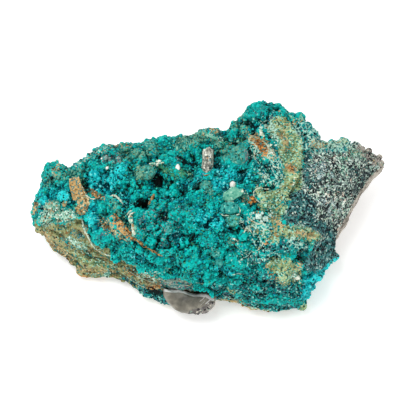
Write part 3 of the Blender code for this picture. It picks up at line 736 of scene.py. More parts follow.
TONES: dict[Tone, Shades] = {
    Tone.TEAL: TURQUOISE,
    Tone.GREEN: Shades("123a33", "2f7466", "6fa48c", 0.36, (
        ("0b6a66", 0.12), ("8aa77c", 0.08), ("0a2a26", 0.08),
    )),
    Tone.AZURE: Shades("00424c", "009ca4", "2cd4d6", 0.36, (("032d33", 0.08), ("6cd6d2", 0.08))),
    Tone.DUSK: Shades("1c3438", "48706e", "8aa49c", 0.36, (
        ("04807c", 0.28), ("74525e", 0.10), ("a8a89c", 0.05),
    )),
    Tone.OLIVE: Shades("4e6a4a", "90a474", "b6c896", 0.42, (
        ("1f8578", 0.13), ("a4d6bc", 0.13), ("a08c58", 0.08), ("3c5c48", 0.12),
    )),
    Tone.MOSS: Shades("2b3828", "687146", "989a6c", 0.40, (
        ("1f6c66", 0.09), ("8cb49a", 0.05), ("80603a", 0.09), ("263024", 0.05),
    )),
    Tone.TAN: Shades("5e4e34", "aa9060", "c8b486", 0.40, (
        ("2f7c78", 0.13), ("665034", 0.14), ("d6c498", 0.08),
    )),
    Tone.RUST: Shades("46280f", "a06a34", "d0985c", 0.40, (
        ("1f7c78", 0.14), ("5c3a22", 0.12), ("dc9a54", 0.16),
    )),
    Tone.MINT: Shades("3f7a6a", "7fae98", "b4d8c2", 0.38, (
        ("cce6d6", 0.12), ("3f8574", 0.20), ("a08c6a", 0.10), ("2c4c46", 0.09),
    )),
    Tone.BEIGE: Shades("5c564e", "8e877c", "bab3a7", 0.42, (("4a463e", 0.07), ("c8c2b6", 0.07))),
    Tone.SPECK: Shades("20282a", "5c6e6c", "a0b4aa", 0.28, (
        ("080b0e", 0.30), ("d8e8dc", 0.17), ("90b8a2", 0.10), ("3f6a68", 0.08), ("c8b8a8", 0.04),
    )),
    Tone.SLATE: Shades("0c181e", "28484e", "4c8484", 0.32, (
        ("6c9c98", 0.10), ("0a1014", 0.24), ("b4ccc4", 0.03), ("167470", 0.09),
    )),
    Tone.FROST: Shades("4c6268", "7a9498", "b0c6c6", 0.28, (
        ("1c2c32", 0.14), ("cfe0dc", 0.14), ("4c8c88", 0.12),
    )),
    Tone.PALE: Shades("8fb09a", "cfd8be", "f6f6ea", 0.42),
    # Painted shade for the bottoms of the gaps: near-black teal.
    Tone.DEEP: Shades("010605", "03201f", "0a5450", 0.40),
    Tone.FOREST: Shades("041510", "15493a", "3f8a66", 0.36, (("0a7a70", 0.14), ("7fa880", 0.05))),
    Tone.INK: Shades("0a0c10", "1c2226", "4c5c5c", 0.36, (("b8ccc0", 0.12), ("2c5c5a", 0.08))),
    Tone.UMBER: Shades("262224", "5a5452", "9c968e", 0.34, (
        ("c4beb0", 0.10), ("1c1a1c", 0.14), ("7c9484", 0.06),
    )),
    Tone.ASH: Shades("989694", "bcbab8", "deddda", 0.40),
    Tone.NIGHT: Shades("04181c", "0c4a50", "2b8f8c", 0.34, (
        ("8fcfc0", 0.10), ("02090b", 0.16), ("0a8f8c", 0.20), ("4a5f6c", 0.10),
    )),
}


@dataclass(frozen=True)
class StoneFinish:
    """Natural mineral surface, mottled grain by grain, with painted shade in its hollows and painted light
    on its crests.

    The sizes of its patterns are in millimetres. Each gain is how strongly a pattern swings the surface
    between its dark and its light colour.
    """

    name: str
    own: Shades
    tones: tuple[Tone, ...] = ()
    grain: float = 0.7
    fleck: float = 0.55
    mottle: float = 5.0
    lace: float = 2.1
    lace_edge: tuple[float, float] = (0.04, 0.09)
    lace_colour: str = "b2dac8"
    speck_share: float = 1.15
    fray: float = 1.5
    showing: tuple[float, float] = (0.46, 0.54)
    level: float = 0.5
    # how strongly the rise paints shade into the hollows and light onto the crests
    rise_gain: float = 0.46
    grain_gain: float = 1.5
    cell_gain: float = 0.35
    tint_gain: float = 0.30
    mottle_gain: float = 0.9
    relief: float = 0.12
    relief_strength: float = 0.9
    relief_pits: float = -0.6
    noise_roughness: float = 0.6
    roughness: float = 0.5
    specular: float = 0.06

    def swing(self, tree: NodeTree, pattern: Feed, gain: float, onto: Feed | float) -> Node:
        """Adds a pattern's swing about a half to a value, as strongly as the gain says."""
        centred = put(tree, "ShaderNodeMath", {0: pattern, 1: 0.5}, operation="SUBTRACT")
        return put(tree, "ShaderNodeMath", {0: centred, 1: gain, 2: onto}, operation="MULTIPLY_ADD")

    def bent(self, tree: NodeTree, where: Feed, size: float, share: float) -> Node:
        """Bends the places that a cell pattern is read at, so that its cells get ragged outlines.

        Args:
            tree: The shader's tree.
            where: The places, in metres.
            size: The size of the bends, in millimetres.
            share: How far they reach, as a share of that.

        Returns:
            The bent places' node.
        """
        colour = put(tree, "ShaderNodeTexNoise", {
            "Vector": where, "Scale": 1.0 / (size * MM), "Detail": 1.0, "Roughness": self.noise_roughness,
        }).outputs["Color"]
        shift = swayed(tree, colour, 2.0 * (share * size) * MM)
        return put(tree, "ShaderNodeVectorMath", {0: where, 1: shift}, operation="ADD")

    def shown(self, tree: NodeTree, layer: str, specks: Feed) -> Node:
        """Tells where a tone shows, with its edge broken up grain by grain.

        Args:
            tree: The shader's tree.
            layer: The attribute that says how strongly the tone lies.
            specks: A fine noise that breaks its edge up.

        Returns:
            The node that gives 1 where it shows and 0 elsewhere.
        """
        mask = put(tree, "ShaderNodeAttribute", attribute_name=layer).outputs["Fac"]
        frayed = self.swing(tree, specks, self.fray, mask)
        low, high = self.showing
        return put(tree, "ShaderNodeMapRange", {"Value": frayed, "From Min": low, "From Max": high})

    def material(self) -> Material:
        """Builds the material.

        Returns:
            The material, which reads Object coordinates and the piece's own attributes.
        """
        material = bpy.data.materials.new(self.name)
        material.use_nodes = True
        tree = material.node_tree
        add = partial(put, tree)
        shader = tree.nodes["Principled BSDF"]
        where = add("ShaderNodeTexCoord").outputs["Object"]
        ragged = self.bent(tree, where, self.fleck, 0.4)
        grain, mottle, specks = (
            add("ShaderNodeTexNoise", {
                "Vector": where, "Scale": 1.0 / (size * MM), "Detail": detail,
                "Roughness": self.noise_roughness,
            })
            for size, detail in ((self.grain, 3.0), (self.mottle, 2.0), (self.speck_share * self.grain, 1.0))
        )
        cells = add("ShaderNodeTexVoronoi", {"Vector": ragged, "Scale": 1.0 / (self.fleck * MM)})
        cell = add("ShaderNodeSeparateColor", {0: cells.outputs["Color"]})
        rise = add("ShaderNodeAttribute", attribute_name="rise").outputs["Fac"]
        tint = add("ShaderNodeAttribute", attribute_name="tint").outputs["Fac"]

        # Painted shade and light: the lower a point lies, the darker it is painted; the higher, the lighter.
        lifted = {0: rise, 1: self.rise_gain, 2: self.level}
        value = add("ShaderNodeMath", lifted, operation="MULTIPLY_ADD")
        for pattern, gain in ((grain, self.grain_gain), (cell, self.cell_gain), (tint, self.tint_gain),
                              (mottle, self.mottle_gain)):
            value = self.swing(tree, pattern, gain, value)

        chance = cell.outputs[1]
        colour = self.own.colour(tree, value, chance)
        for tone in self.tones:
            share = self.shown(tree, tone.layer, specks)
            lying = {0: share, 6: colour, 7: TONES[tone].colour(tree, value, chance)}
            colour = add("ShaderNodeMix", lying, data_type="RGBA").outputs[2]
        colour = self.laced(tree, where, specks, colour)
        tree.links.new(colour, shader.inputs["Base Color"])

        bumps = self.swing(tree, cells.outputs["Distance"], self.relief_pits, grain)
        bump = {"Height": bumps, "Strength": self.relief_strength, "Distance": self.relief * MM}
        tree.links.new(add("ShaderNodeBump", bump).outputs[0], shader.inputs["Normal"])
        shader.inputs["Roughness"].default_value = self.roughness
        shader.inputs["Specular IOR Level"].default_value = self.specular
        return material

    def laced(self, tree: NodeTree, where: Feed, specks: Feed, colour: NodeSocket) -> NodeSocket:
        """Lays the thin pale rims of the crust's cells over a colour, where the LACE tone lies.

        Args:
            tree: The shader's tree.
            where: The places, in metres.
            specks: A fine noise that breaks the rims up.
            colour: The colour underneath.

        Returns:
            The colour's socket.
        """
        add = partial(put, tree)
        cells = {"Vector": self.bent(tree, where, self.lace, 0.5), "Scale": 1.0 / (self.lace * MM)}
        edge = add("ShaderNodeTexVoronoi", cells, feature="DISTANCE_TO_EDGE")
        low, high = self.lace_edge
        thin = {"Value": edge, "From Min": low, "From Max": high, "To Min": 1.0, "To Max": 0.0}
        parts = {0: add("ShaderNodeMapRange", thin), 1: self.shown(tree, Tone.LACE.layer, specks)}
        share = add("ShaderNodeMath", parts, operation="MULTIPLY")
        mixed = {0: share, 6: colour, 7: linear(self.lace_colour)}
        return add("ShaderNodeMix", mixed, data_type="RGBA").outputs[2]


# Chrysocolla is a waxy hydrous copper silicate, grown in rounded beads: turquoise crests over
# teal-black hollows, partly painted light and painted shade, with a soft shine that never gets as sharp as
# glass.
CHRYSOCOLLA = StoneFinish(
    "botryoidal_chrysocolla",
    TURQUOISE,
    (Tone.GREEN, Tone.FOREST, Tone.AZURE, Tone.DUSK, Tone.NIGHT, Tone.MOSS, Tone.OLIVE, Tone.TAN,
     Tone.RUST, Tone.MINT, Tone.SLATE, Tone.PALE, Tone.DEEP),
    grain=0.62, fleck=0.5,
    level=0.44,
)

# Weathered host rock: dull broken matrix, olive and brown, with mineral grains and copper stains.
HOST_ROCK = StoneFinish(
    "weathered_host_rock",
    Shades("3d3a2a", "7b7452", "a59f7a", 0.40, (("2b7a6e", 0.08), ("9c7c4c", 0.12), ("2f2b20", 0.10))),
    (Tone.SPECK, Tone.PALE, Tone.FROST, Tone.INK, Tone.UMBER, Tone.MOSS, Tone.OLIVE, Tone.TEAL, Tone.GREEN,
     Tone.AZURE, Tone.DUSK, Tone.NIGHT, Tone.SLATE, Tone.TAN, Tone.RUST, Tone.BEIGE, Tone.MINT, Tone.DEEP),
    grain=0.6, fleck=0.5,
    fray=1.3, rise_gain=0.5,
    grain_gain=1.2, tint_gain=0.45,
    cell_gain=0.4, roughness=0.75,
    specular=0.15,
)

# Cream silica rims: thin hard lines of pale mineral, faintly stained by what they run through.
SILICA_RIM = StoneFinish(
    "cream_silica_rim",
    Shades("5f8678", "adc2ac", "dfe6d2", 0.40, (("2f8a80", 0.12), ("a98a5c", 0.08))),
    roughness=0.45,
)

# Silica seams: faint grey-green lines between the layers of the rock.
SILICA_SEAM = StoneFinish(
    "grey_silica_seam",
    Shades("4c6c60", "86a090", "bccab6", 0.40, (("2f8a80", 0.12), ("a98a5c", 0.08))),
    roughness=0.6,
)

# Iron-stained crest: rusty brown, paler and sandier along its worn edge.
IRON_CREST = StoneFinish(
    "iron_stained_crest",
    Shades("2c1b0e", "78532c", "c09a64", 0.40, (("1f7c78", 0.08), ("dcc29a", 0.08), ("2a1a10", 0.14))),
    roughness=0.7,
)

# Sandy plate: a flat pale tan film of weathered iron, peppered with copper green.
SANDY_PLATE = StoneFinish(
    "sandy_weathered_film",
    Shades("94774a", "be9a62", "d8bc88", 0.42, (("3a7a7c", 0.17), ("86683e", 0.06), ("dcc79c", 0.10))),
    (Tone.RUST,),
    fleck=0.42, rise_gain=0.2,
    grain_gain=0.8, mottle_gain=0.3,
    roughness=0.75,
)

# Dusty domes: chrysocolla whose waxy skin has a fine grey-green bloom over it.
DUSTY_DOME = StoneFinish(
    "dusty_chrysocolla_dome",
    Shades("0f5450", "208a82", "52b2a6", 0.42, (("86c4b0", 0.05), ("0e5552", 0.10))),
    (Tone.GREEN, Tone.FOREST, Tone.AZURE, Tone.OLIVE, Tone.TAN, Tone.RUST, Tone.DUSK),
    mottle=2.5, rise_gain=0.15,
    grain_gain=0.7, mottle_gain=0.5,
    relief=0.06,
)

# Pale mint chips: milky chrysocolla, smoother and lighter than the beads.
MINT_CHIP = StoneFinish(
    "milky_chrysocolla_chip",
    Shades("38806e", "62ac94", "8ecab0", 0.42, (("a8d4be", 0.06), ("3f9080", 0.10))),
    (Tone.PALE,),
    mottle=2.0, grain_gain=0.6,
    mottle_gain=0.5, relief=0.07,
)

# Mint-white blocky crystals, frosted by a skin of silica.
MINT_BLOCK = StoneFinish(
    "frosted_mint_crystal",
    Shades("6f9c90", "a9cdc0", "dcefe6", 0.42, (("4c8574", 0.10),)),
    roughness=0.35,
)

# White silica tips: small clean points that stand out bright among the beads.
WHITE_TIP = StoneFinish("white_silica_tip", Shades("a8a8a0", "d6d4cc", "f6f4ee", 0.40), roughness=0.4)

# Chalcedony: dense grey waxy silica with a soft sheen on its broken face.
CHALCEDONY = StoneFinish(
    "grey_chalcedony",
    Shades("48463e", "6e6a5e", "9a9486", 0.40),
    (Tone.ASH, Tone.UMBER),
    grain=1.8, mottle=5.0,
    fray=0.25, rise_gain=0.1,
    grain_gain=0.6, cell_gain=0.10,
    mottle_gain=1.5, relief=0.05,
    roughness=0.38, specular=0.4,
)

# Etched quartz: cloudy and cracked, beige to white, brown where it meets the crust.
QUARTZ = StoneFinish(
    "etched_cloudy_quartz",
    Shades("52554c", "8f9284", "c8c8ba", 0.40, (("4a4c44", 0.05), ("e2e2d6", 0.06), ("ab875c", 0.03))),
    (Tone.RUST, Tone.SLATE, Tone.PALE),
    grain=0.8, roughness=0.35,
    specular=0.4,
)


# ---------------------------------------------------------------------------------------------------
# Geometry trees
# ---------------------------------------------------------------------------------------------------

LAYERS = ("Clump", "Lump", "Grain")
BEND = 2.4  # how far the cells of the weathering are bent out of line, in millimetres
BENDS = 0.3  # and how many bends there are in a millimetre
BLEND = 0.35  # how softly a cell runs over into the next
LEVEL = 0.45  # how far from a cell's middle its dome sinks to the plain form, as a share of the cell
GAP_EDGE = (0.02, 0.16)  # where a gap between two clumps has its full depth, and where it ends
GAP_CLOUDS = 0.12  # how many clouds of gaps there are in a millimetre
GAP_SHARE = (0.46, 0.58)  # the noise under which a cloud has no gaps, and over which they are full

CROWDING = 3.0  # how many growths are tried for in a square with the spacing as its side
TINT_SEED = 77
STRETCH_SEED = 5
STRETCH = ((0.82, 0.82, 0.75), (1.15, 1.15, 1.05))  # the least and the most that a growth is stretched
WOBBLES = 0.9  # how many wobbles go into the largest growth's radius
# Painted light and shade on each growth: lighter toward its crest, darker toward its foot.
BEAD_CREST_SHADING = 1.6  # how much the crest of a growth counts as rise, for each millimetre


def new_geometry_tree(name: str, inputs: dict[str, str]) -> tuple[NodeTree, Node]:
    """Starts a geometry tree with its sockets.

    Args:
        name: The tree's name.
        inputs: The kind of socket of each named input between the geometry and the material.

    Returns:
        The tree and its input node.
    """
    tree = bpy.data.node_groups.new(name, "GeometryNodeTree")
    tree.interface.new_socket("Geometry", in_out="OUTPUT", socket_type="NodeSocketGeometry")
    for title, kind in {"Geometry": "Geometry", **inputs, "Material": "Material"}.items():
        tree.interface.new_socket(title, in_out="INPUT", socket_type="NodeSocket" + kind)
    return tree, put(tree, "NodeGroupInput")


def ended(tree: NodeTree, given: Node, mesh: Node, smooth: NodeSocket | bool = True) -> NodeTree:
    """Ends a geometry tree: with its shading, with nothing left as an instance, and with its material.

    Args:
        tree: The tree.
        given: Its input node.
        mesh: The node that gives the mesh.
        smooth: Whether the faces are shaded as one rounded surface.

    Returns:
        The tree.
    """
    mesh = put(tree, "GeometryNodeSetShadeSmooth", {"Geometry": mesh, "Shade Smooth": smooth})
    mesh = put(tree, "GeometryNodeRealizeInstances", {0: mesh})
    mesh = put(tree, "GeometryNodeSetMaterial", {"Geometry": mesh, "Material": given.outputs["Material"]})
    put(tree, "NodeGroupOutput", {0: mesh})
    return tree


def weathering_tree() -> NodeTree:
    """Builds the tree that gives a form its clumps, lumps and grain, and measures how it stands out.

    Returns:
        The tree. "rise" is the height over the smoothed form, in millimetres; the finishes turn it into
        painted shade and light.
    """
    lengths = [f"{layer} {what}" for layer in LAYERS for what in ("size", "height")] + ["Gap depth"]
    tree, given = new_geometry_tree("weathering", {**dict.fromkeys(lengths, "Float"), "Smoothing": "Int"})
    add, out = partial(put, tree), given.outputs
    position, normal = add("GeometryNodeInputPosition"), add("GeometryNodeInputNormal")
    relief = add("GeometryNodeInputNamedAttribute", {0: "relief"}, data_type="FLOAT")
    wander = add("ShaderNodeTexNoise", {"Vector": position, "Scale": BENDS / MM, "Detail": 2.0})
    shift = swayed(tree, wander.outputs["Color"], BEND * MM)
    bent = add("ShaderNodeVectorMath", {0: position, 1: shift}, operation="ADD")

    height: Node | float = 0.0
    for layer in LAYERS:
        scale = add("ShaderNodeMath", {0: 1.0, 1: out[layer + " size"]}, operation="DIVIDE")
        cells = {"Vector": bent, "Scale": scale, "Smoothness": BLEND}
        distance = add("ShaderNodeTexVoronoi", cells, feature="SMOOTH_F1")
        dome = add("ShaderNodeMath", {0: LEVEL, 1: distance}, operation="SUBTRACT")
        raised = {0: dome, 1: out[layer + " height"], 2: height}
        height = add("ShaderNodeMath", raised, operation="MULTIPLY_ADD")

    scale = add("ShaderNodeMath", {0: 1.0, 1: out["Clump size"]}, operation="DIVIDE")
    edge = add("ShaderNodeTexVoronoi", {"Vector": bent, "Scale": scale}, feature="DISTANCE_TO_EDGE")
    narrow = {"Value": edge, "From Min": GAP_EDGE[0], "From Max": GAP_EDGE[1], "To Min": 1.0, "To Max": 0.0}
    gap = add("ShaderNodeMapRange", narrow)
    cloud = add("ShaderNodeTexNoise", {"Vector": position, "Scale": GAP_CLOUDS / MM, "Detail": 1.0})
    share = {"Value": cloud, "From Min": GAP_SHARE[0], "From Max": GAP_SHARE[1]}
    for factor in (add("ShaderNodeMapRange", share), out["Gap depth"]):
        gap = add("ShaderNodeMath", {0: gap, 1: factor}, operation="MULTIPLY")
    height = add("ShaderNodeMath", {0: height, 1: gap}, operation="SUBTRACT")
    height = add("ShaderNodeMath", {0: height, 1: relief}, operation="MULTIPLY")
    offset = add("ShaderNodeVectorMath", {0: normal, "Scale": height}, operation="SCALE")
    moved = add("GeometryNodeSetPosition", {"Geometry": given, "Offset": offset})

    blurred = [{0: field, "Iterations": out["Smoothing"]} for field in (position, normal)]
    smoothed_place, smoothed_normal = (
        add("GeometryNodeBlurAttribute", inputs, data_type="FLOAT_VECTOR") for inputs in blurred
    )
    unit = add("ShaderNodeVectorMath", {0: smoothed_normal}, operation="NORMALIZE")
    apart = add("ShaderNodeVectorMath", {0: position, 1: smoothed_place}, operation="SUBTRACT")
    over = add("ShaderNodeVectorMath", {0: apart, 1: unit}, operation="DOT_PRODUCT").outputs["Value"]
    rise = add("ShaderNodeMath", {0: over, 1: 1.0 / MM}, operation="MULTIPLY")
    kept = {"Geometry": moved, "Name": "rise", "Value": rise}
    stored = add("GeometryNodeStoreNamedAttribute", kept, data_type="FLOAT", domain="POINT")
    return ended(tree, given, stored)


def growth_tree() -> NodeTree:
    """Builds the tree that strews small rounded beads, or angular grains, over a surface.

    Returns:
        The tree. Each growth keeps its seat's tones, a tint of its own and its points' rise, which paints it
        lighter toward its crest.
    """
    tree, given = new_geometry_tree("growth", {
        "Room": "String", "Spacing": "Float", "Least radius": "Float", "Most radius": "Float",
        "Sink": "Float", "Wobble": "Float", "Facets": "Int", "Smooth": "Bool", "Seed": "Int",
    })
    add, out = partial(put, tree), given.outputs
    position = add("GeometryNodeInputPosition")
    room = add("GeometryNodeInputNamedAttribute", {0: out["Room"]}, data_type="FLOAT")
    area = add("ShaderNodeMath", {0: out["Spacing"], 1: 2.0}, operation="POWER")
    density = add("ShaderNodeMath", {0: CROWDING, 1: area}, operation="DIVIDE")
    strewn = add("GeometryNodeDistributePointsOnFaces", {
        "Mesh": given, "Distance Min": out["Spacing"], "Density Max": density, "Density Factor": room,
        "Seed": out["Seed"],
    }, distribute_method="POISSON")
    radii = {2: out["Least radius"], 3: out["Most radius"], "Seed": out["Seed"]}
    radius = add("FunctionNodeRandomValue", radii, data_type="FLOAT").outputs[1]
    tint = add("FunctionNodeRandomValue", {2: 0.0, 3: 1.0, "Seed": TINT_SEED}, data_type="FLOAT").outputs[1]
    points: Feed = strewn
    for name, value, kind in (("radius", radius, "FLOAT"), ("tint", tint, "FLOAT"),
                              ("seat", position, "FLOAT_VECTOR"),
                              ("seat_normal", strewn.outputs["Normal"], "FLOAT_VECTOR")):
        kept = {"Geometry": points, "Name": name, "Value": value}
        points = add("GeometryNodeStoreNamedAttribute", kept, data_type=kind, domain="POINT")

    own_radius, own_rise = (
        add("GeometryNodeInputNamedAttribute", {0: name}, data_type="FLOAT") for name in ("radius", "rise")
    )
    seat, seat_normal = (
        add("GeometryNodeInputNamedAttribute", {0: name}, data_type="FLOAT_VECTOR")
        for name in ("seat", "seat_normal")
    )
    depth = add("ShaderNodeMath", {0: own_radius, 1: out["Sink"]}, operation="MULTIPLY")
    down = add("ShaderNodeMath", {0: depth, 1: -1.0}, operation="MULTIPLY")
    inward = add("ShaderNodeVectorMath", {0: seat_normal, "Scale": down}, operation="SCALE")
    points = add("GeometryNodeSetPosition", {"Geometry": points, "Offset": inward})
    bead = add("GeometryNodeMeshIcoSphere", {"Radius": 1.0, "Subdivisions": out["Facets"]})
    stretches = {0: STRETCH[0], 1: STRETCH[1], "Seed": STRETCH_SEED}
    stretch = add("FunctionNodeRandomValue", stretches, data_type="FLOAT_VECTOR")
    size = add("ShaderNodeVectorMath", {0: stretch, "Scale": own_radius}, operation="SCALE")
    turn = strewn.outputs["Rotation"]
    placed = {"Points": points, "Instance": bead, "Rotation": turn, "Scale": size}
    mesh = add("GeometryNodeRealizeInstances", {0: add("GeometryNodeInstanceOnPoints", placed)})

    scale = add("ShaderNodeMath", {0: WOBBLES, 1: out["Most radius"]}, operation="DIVIDE")
    shake = add("ShaderNodeTexNoise", {"Vector": position, "Scale": scale, "Detail": 2.0})
    wobble = swayed(tree, shake.outputs["Color"], out["Wobble"])
    mesh = add("GeometryNodeSetPosition", {"Geometry": mesh, "Offset": wobble})
    apart = add("ShaderNodeVectorMath", {0: position, 1: seat}, operation="SUBTRACT")
    over = add("ShaderNodeVectorMath", {0: apart, 1: seat_normal}, operation="DOT_PRODUCT").outputs["Value"]
    # Painted light on the growth's crest and painted shade at its foot, on top of its seat's rise.
    rise = add("ShaderNodeMath", {0: over, 1: BEAD_CREST_SHADING / MM, 2: own_rise}, operation="MULTIPLY_ADD")
    kept = {"Geometry": mesh, "Name": "rise", "Value": rise}
    mesh = add("GeometryNodeStoreNamedAttribute", kept, data_type="FLOAT", domain="POINT")
    for name in ("seat", "seat_normal", "radius"):
        mesh = add("GeometryNodeRemoveAttribute", {"Geometry": mesh, "Name": name})
    return ended(tree, given, mesh, out["Smooth"])


def vein_tree() -> NodeTree:
    """Builds the tree that draws a low ridge along a route that lies on the stone.

    Returns:
        The tree. Each route point brings its "thickness" and the direction "away" from the stone.
    """
    lengths = ("Half width", "Height", "Wobble", "Wobble size")
    tree, given = new_geometry_tree("vein", {**dict.fromkeys(lengths, "Float"), "Sides": "Int"})
    add, out = partial(put, tree), given.outputs
    thickness = add("GeometryNodeInputNamedAttribute", {0: "thickness"}, data_type="FLOAT")
    away = add("GeometryNodeInputNamedAttribute", {0: "away"}, data_type="FLOAT_VECTOR")
    route = add("GeometryNodeMeshToCurve", {0: given})
    route = add("GeometryNodeSetCurveNormal", {0: route, "Normal": away}, mode="FREE")
    circle = add("GeometryNodeCurvePrimitiveCircle", {"Resolution": out["Sides"], "Radius": 1.0})
    shape = add("ShaderNodeCombineXYZ", {0: out["Height"], 1: out["Half width"], 2: 1.0})
    profile = add("GeometryNodeTransform", {"Geometry": circle, "Scale": shape})
    drawn = {"Curve": route, "Profile Curve": profile, "Scale": thickness, "Fill Caps": True}
    mesh = add("GeometryNodeCurveToMesh", drawn)

    position = add("GeometryNodeInputPosition")
    scale = add("ShaderNodeMath", {0: 1.0, 1: out["Wobble size"]}, operation="DIVIDE")
    shake = add("ShaderNodeTexNoise", {"Vector": position, "Scale": scale, "Detail": 2.0})
    wobble = swayed(tree, shake.outputs["Color"], out["Wobble"])
    return ended(tree, given, add("GeometryNodeSetPosition", {"Geometry": mesh, "Offset": wobble}))


# ---------------------------------------------------------------------------------------------------
# Small forms
# ---------------------------------------------------------------------------------------------------

SEED_STEP = (17.3, 5.9, -3.1)  # how far one seed's part of the noise lies from the next one's
PLAIN_TINT = 0.5  # the tint of what is neither lighter nor darker than the finish
LEAN = 2.0  # how much more what stands on the face turns to the viewer than to its seat's normal


def smooth_route(places: tuple[Place, ...], step: float) -> np.ndarray:
    """Rounds a route through its places and divides it evenly.

    Args:
        places: The places that it passes through, in millimetres.
        step: How far its points lie apart.

    Returns:
        Rows of across and up.
    """
    knots = np.array([places[0], *places, places[-1]], float)
    parts = []
    for a, b, c, d in zip(knots, knots[1:], knots[2:], knots[3:]):
        t = np.linspace(0.0, 1.0, max(2, round(np.linalg.norm(c - b) / step)), endpoint=False)[:, None]
        bend = (2 * a - 5 * b + 4 * c - d) * t**2 + (3 * b - a - 3 * c + d) * t**3
        parts.append(0.5 * (2 * b + (c - a) * t + bend))
    return np.vstack([*parts, knots[-1:]])


def ball(divisions: int) -> tuple[np.ndarray, list[tuple[int, ...]]]:
    """A round ball of even triangles.

    Args:
        divisions: How finely it is divided.

    Returns:
        Its points at a radius of 1, and its faces.
    """
    mesh = bmesh.new()
    bmesh.ops.create_icosphere(mesh, subdivisions=divisions, radius=1.0)
    points = np.array([v.co[:] for v in mesh.verts])
    faces = [tuple(v.index for v in face.verts) for face in mesh.faces]
    mesh.free()
    return points, faces


def uneven(points: np.ndarray, size: float, seed: int) -> np.ndarray:
    """Reads a noise with lumps of a size at points, all in millimetres: about -1 to 1 for each point."""
    start = Vector([step * seed for step in SEED_STEP])
    return np.array([noise.fractal(Vector(p) / size + start, 0.9, 2.0, 3) for p in points])


def leaning(normal: Vector) -> Vector:
    """Turns a seat's normal toward the viewer, as the growths on the face stand."""
    return (normal + LEAN * TOWARD_VIEWER).normalized()


class Gathering:
    """Small closed forms gathered into one mesh, each point with its tones and its tint."""

    def __init__(self) -> None:
        """Starts with no forms."""
        self.points: list[np.ndarray] = []
        self.faces: list[tuple[int, ...]] = []
        self.marks: list[Marks] = []

    def add(self, points: np.ndarray, faces: list[tuple[int, ...]], marks: Marks) -> None:
        """Adds a form.

        Args:
            points: Its points, in metres.
            faces: Its faces.
            marks: Its attributes, each with one number for each point or one for all.
        """
        start = sum(len(p) for p in self.points)
        self.points.append(points)
        self.faces += [tuple(start + i for i in face) for face in faces]
        self.marks.append(marks)

    def take(self, part: Object, marks: Marks) -> None:
        """Adds an object's mesh with its attributes, and removes the object."""
        self.add(vertex_array(part.data), [tuple(p.vertices) for p in part.data.polygons], marks)
        bpy.data.objects.remove(part)

    def piece(self, name: str, smooth: bool = True) -> Object:
        """Makes the object.

        Args:
            name: Its name.
            smooth: Whether its faces are shaded as one rounded surface.

        Returns:
            The object.
        """
        mesh = bpy.data.meshes.new(name)
        mesh.from_pydata(np.vstack(self.points).tolist(), [], self.faces)
        for mark in sorted({key for marks in self.marks for key in marks}):
            parts = [np.broadcast_to(m.get(mark, 0.0), len(p)) for m, p in zip(self.marks, self.points)]
            store(mesh, mark, np.concatenate(parts))
        if smooth:
            mesh.shade_smooth()
        return new_object(name, mesh)


@dataclass(frozen=True)
class Dome:
    """A rounded growth that stands out among the beads: where, and how big."""

    place: Place
    across: float
    along: float
    thick: float
    sink: float = 0.3
    rough: float = 0.10
    tones: tuple[tuple[Tone, float], ...] = ()
    crescent: bool = False


DOMES: tuple[Dome, ...] = (
    Dome((10, 16.4), 2.9, 3.2, 1.9, -0.8, 0.04, ((Tone.GREEN, 0.44),), True),
    Dome((7, 0.6), 2.8, 2, 1.4, -0.2, 0.05),
    Dome((8.1, -3.2), 2.1, 1.9, 1.5, 0.1, 0.12, ((Tone.GREEN, 0.44), (Tone.FOREST, 0.42))),
    Dome((3.4, -15.6), 2, 2, 1.5, 0.2, 0.14),
    Dome((0, 7.2), 1.9, 1.9, 1.4, 0.2, 0.12, ((Tone.GREEN, 0.5),)),
    Dome((17.7, 1.3), 1.1, 1, 0.9, 0.1, 0.12, ((Tone.OLIVE, 1),)),
    Dome((29.6, -29.8), 1.3, 1.2, 1.2, 0.1, 0.16, ((Tone.OLIVE, 0.7),)),
    Dome((-18.4, 11.4), 2.7, 2.4, 1.8, 0.1, 0.10, ((Tone.GREEN, 0.48),)),
    Dome((-17.4, 19.8), 2, 1.8, 1.6, 0.3, 0.16, ((Tone.GREEN, 0.44),)),
    Dome((-6.4, 20.2), 1.5, 1.9, 1.4, 0.3, 0.16, ((Tone.GREEN, 0.5),)),
    Dome((2.6, -13), 1.6, 1.5, 1.2, 0.2, 0.12, ((Tone.GREEN, 0.42),)),
    Dome((-11.6, -6), 1.4, 1.4, 1.2, 0.2, 0.14, ((Tone.DUSK, 0.42),)),
    Dome((-34.6, 11), 1.7, 1.5, 1.3, 0.2, 0.16, ((Tone.AZURE, 0.9),)),
    Dome((-43.4, 1.7), 1, 0.9, 0.9, 0.1, 0.16, ((Tone.TAN, 0.55),)),
    Dome((2, 24.2), 1.9, 1.3, 1.3, 0.3, 0.16, ((Tone.TAN, 0.5),)),
    Dome((13.2, 3.3), 0.8, 0.8, 0.8, 0.1, 0.24, ((Tone.RUST, 0.5),)),
)


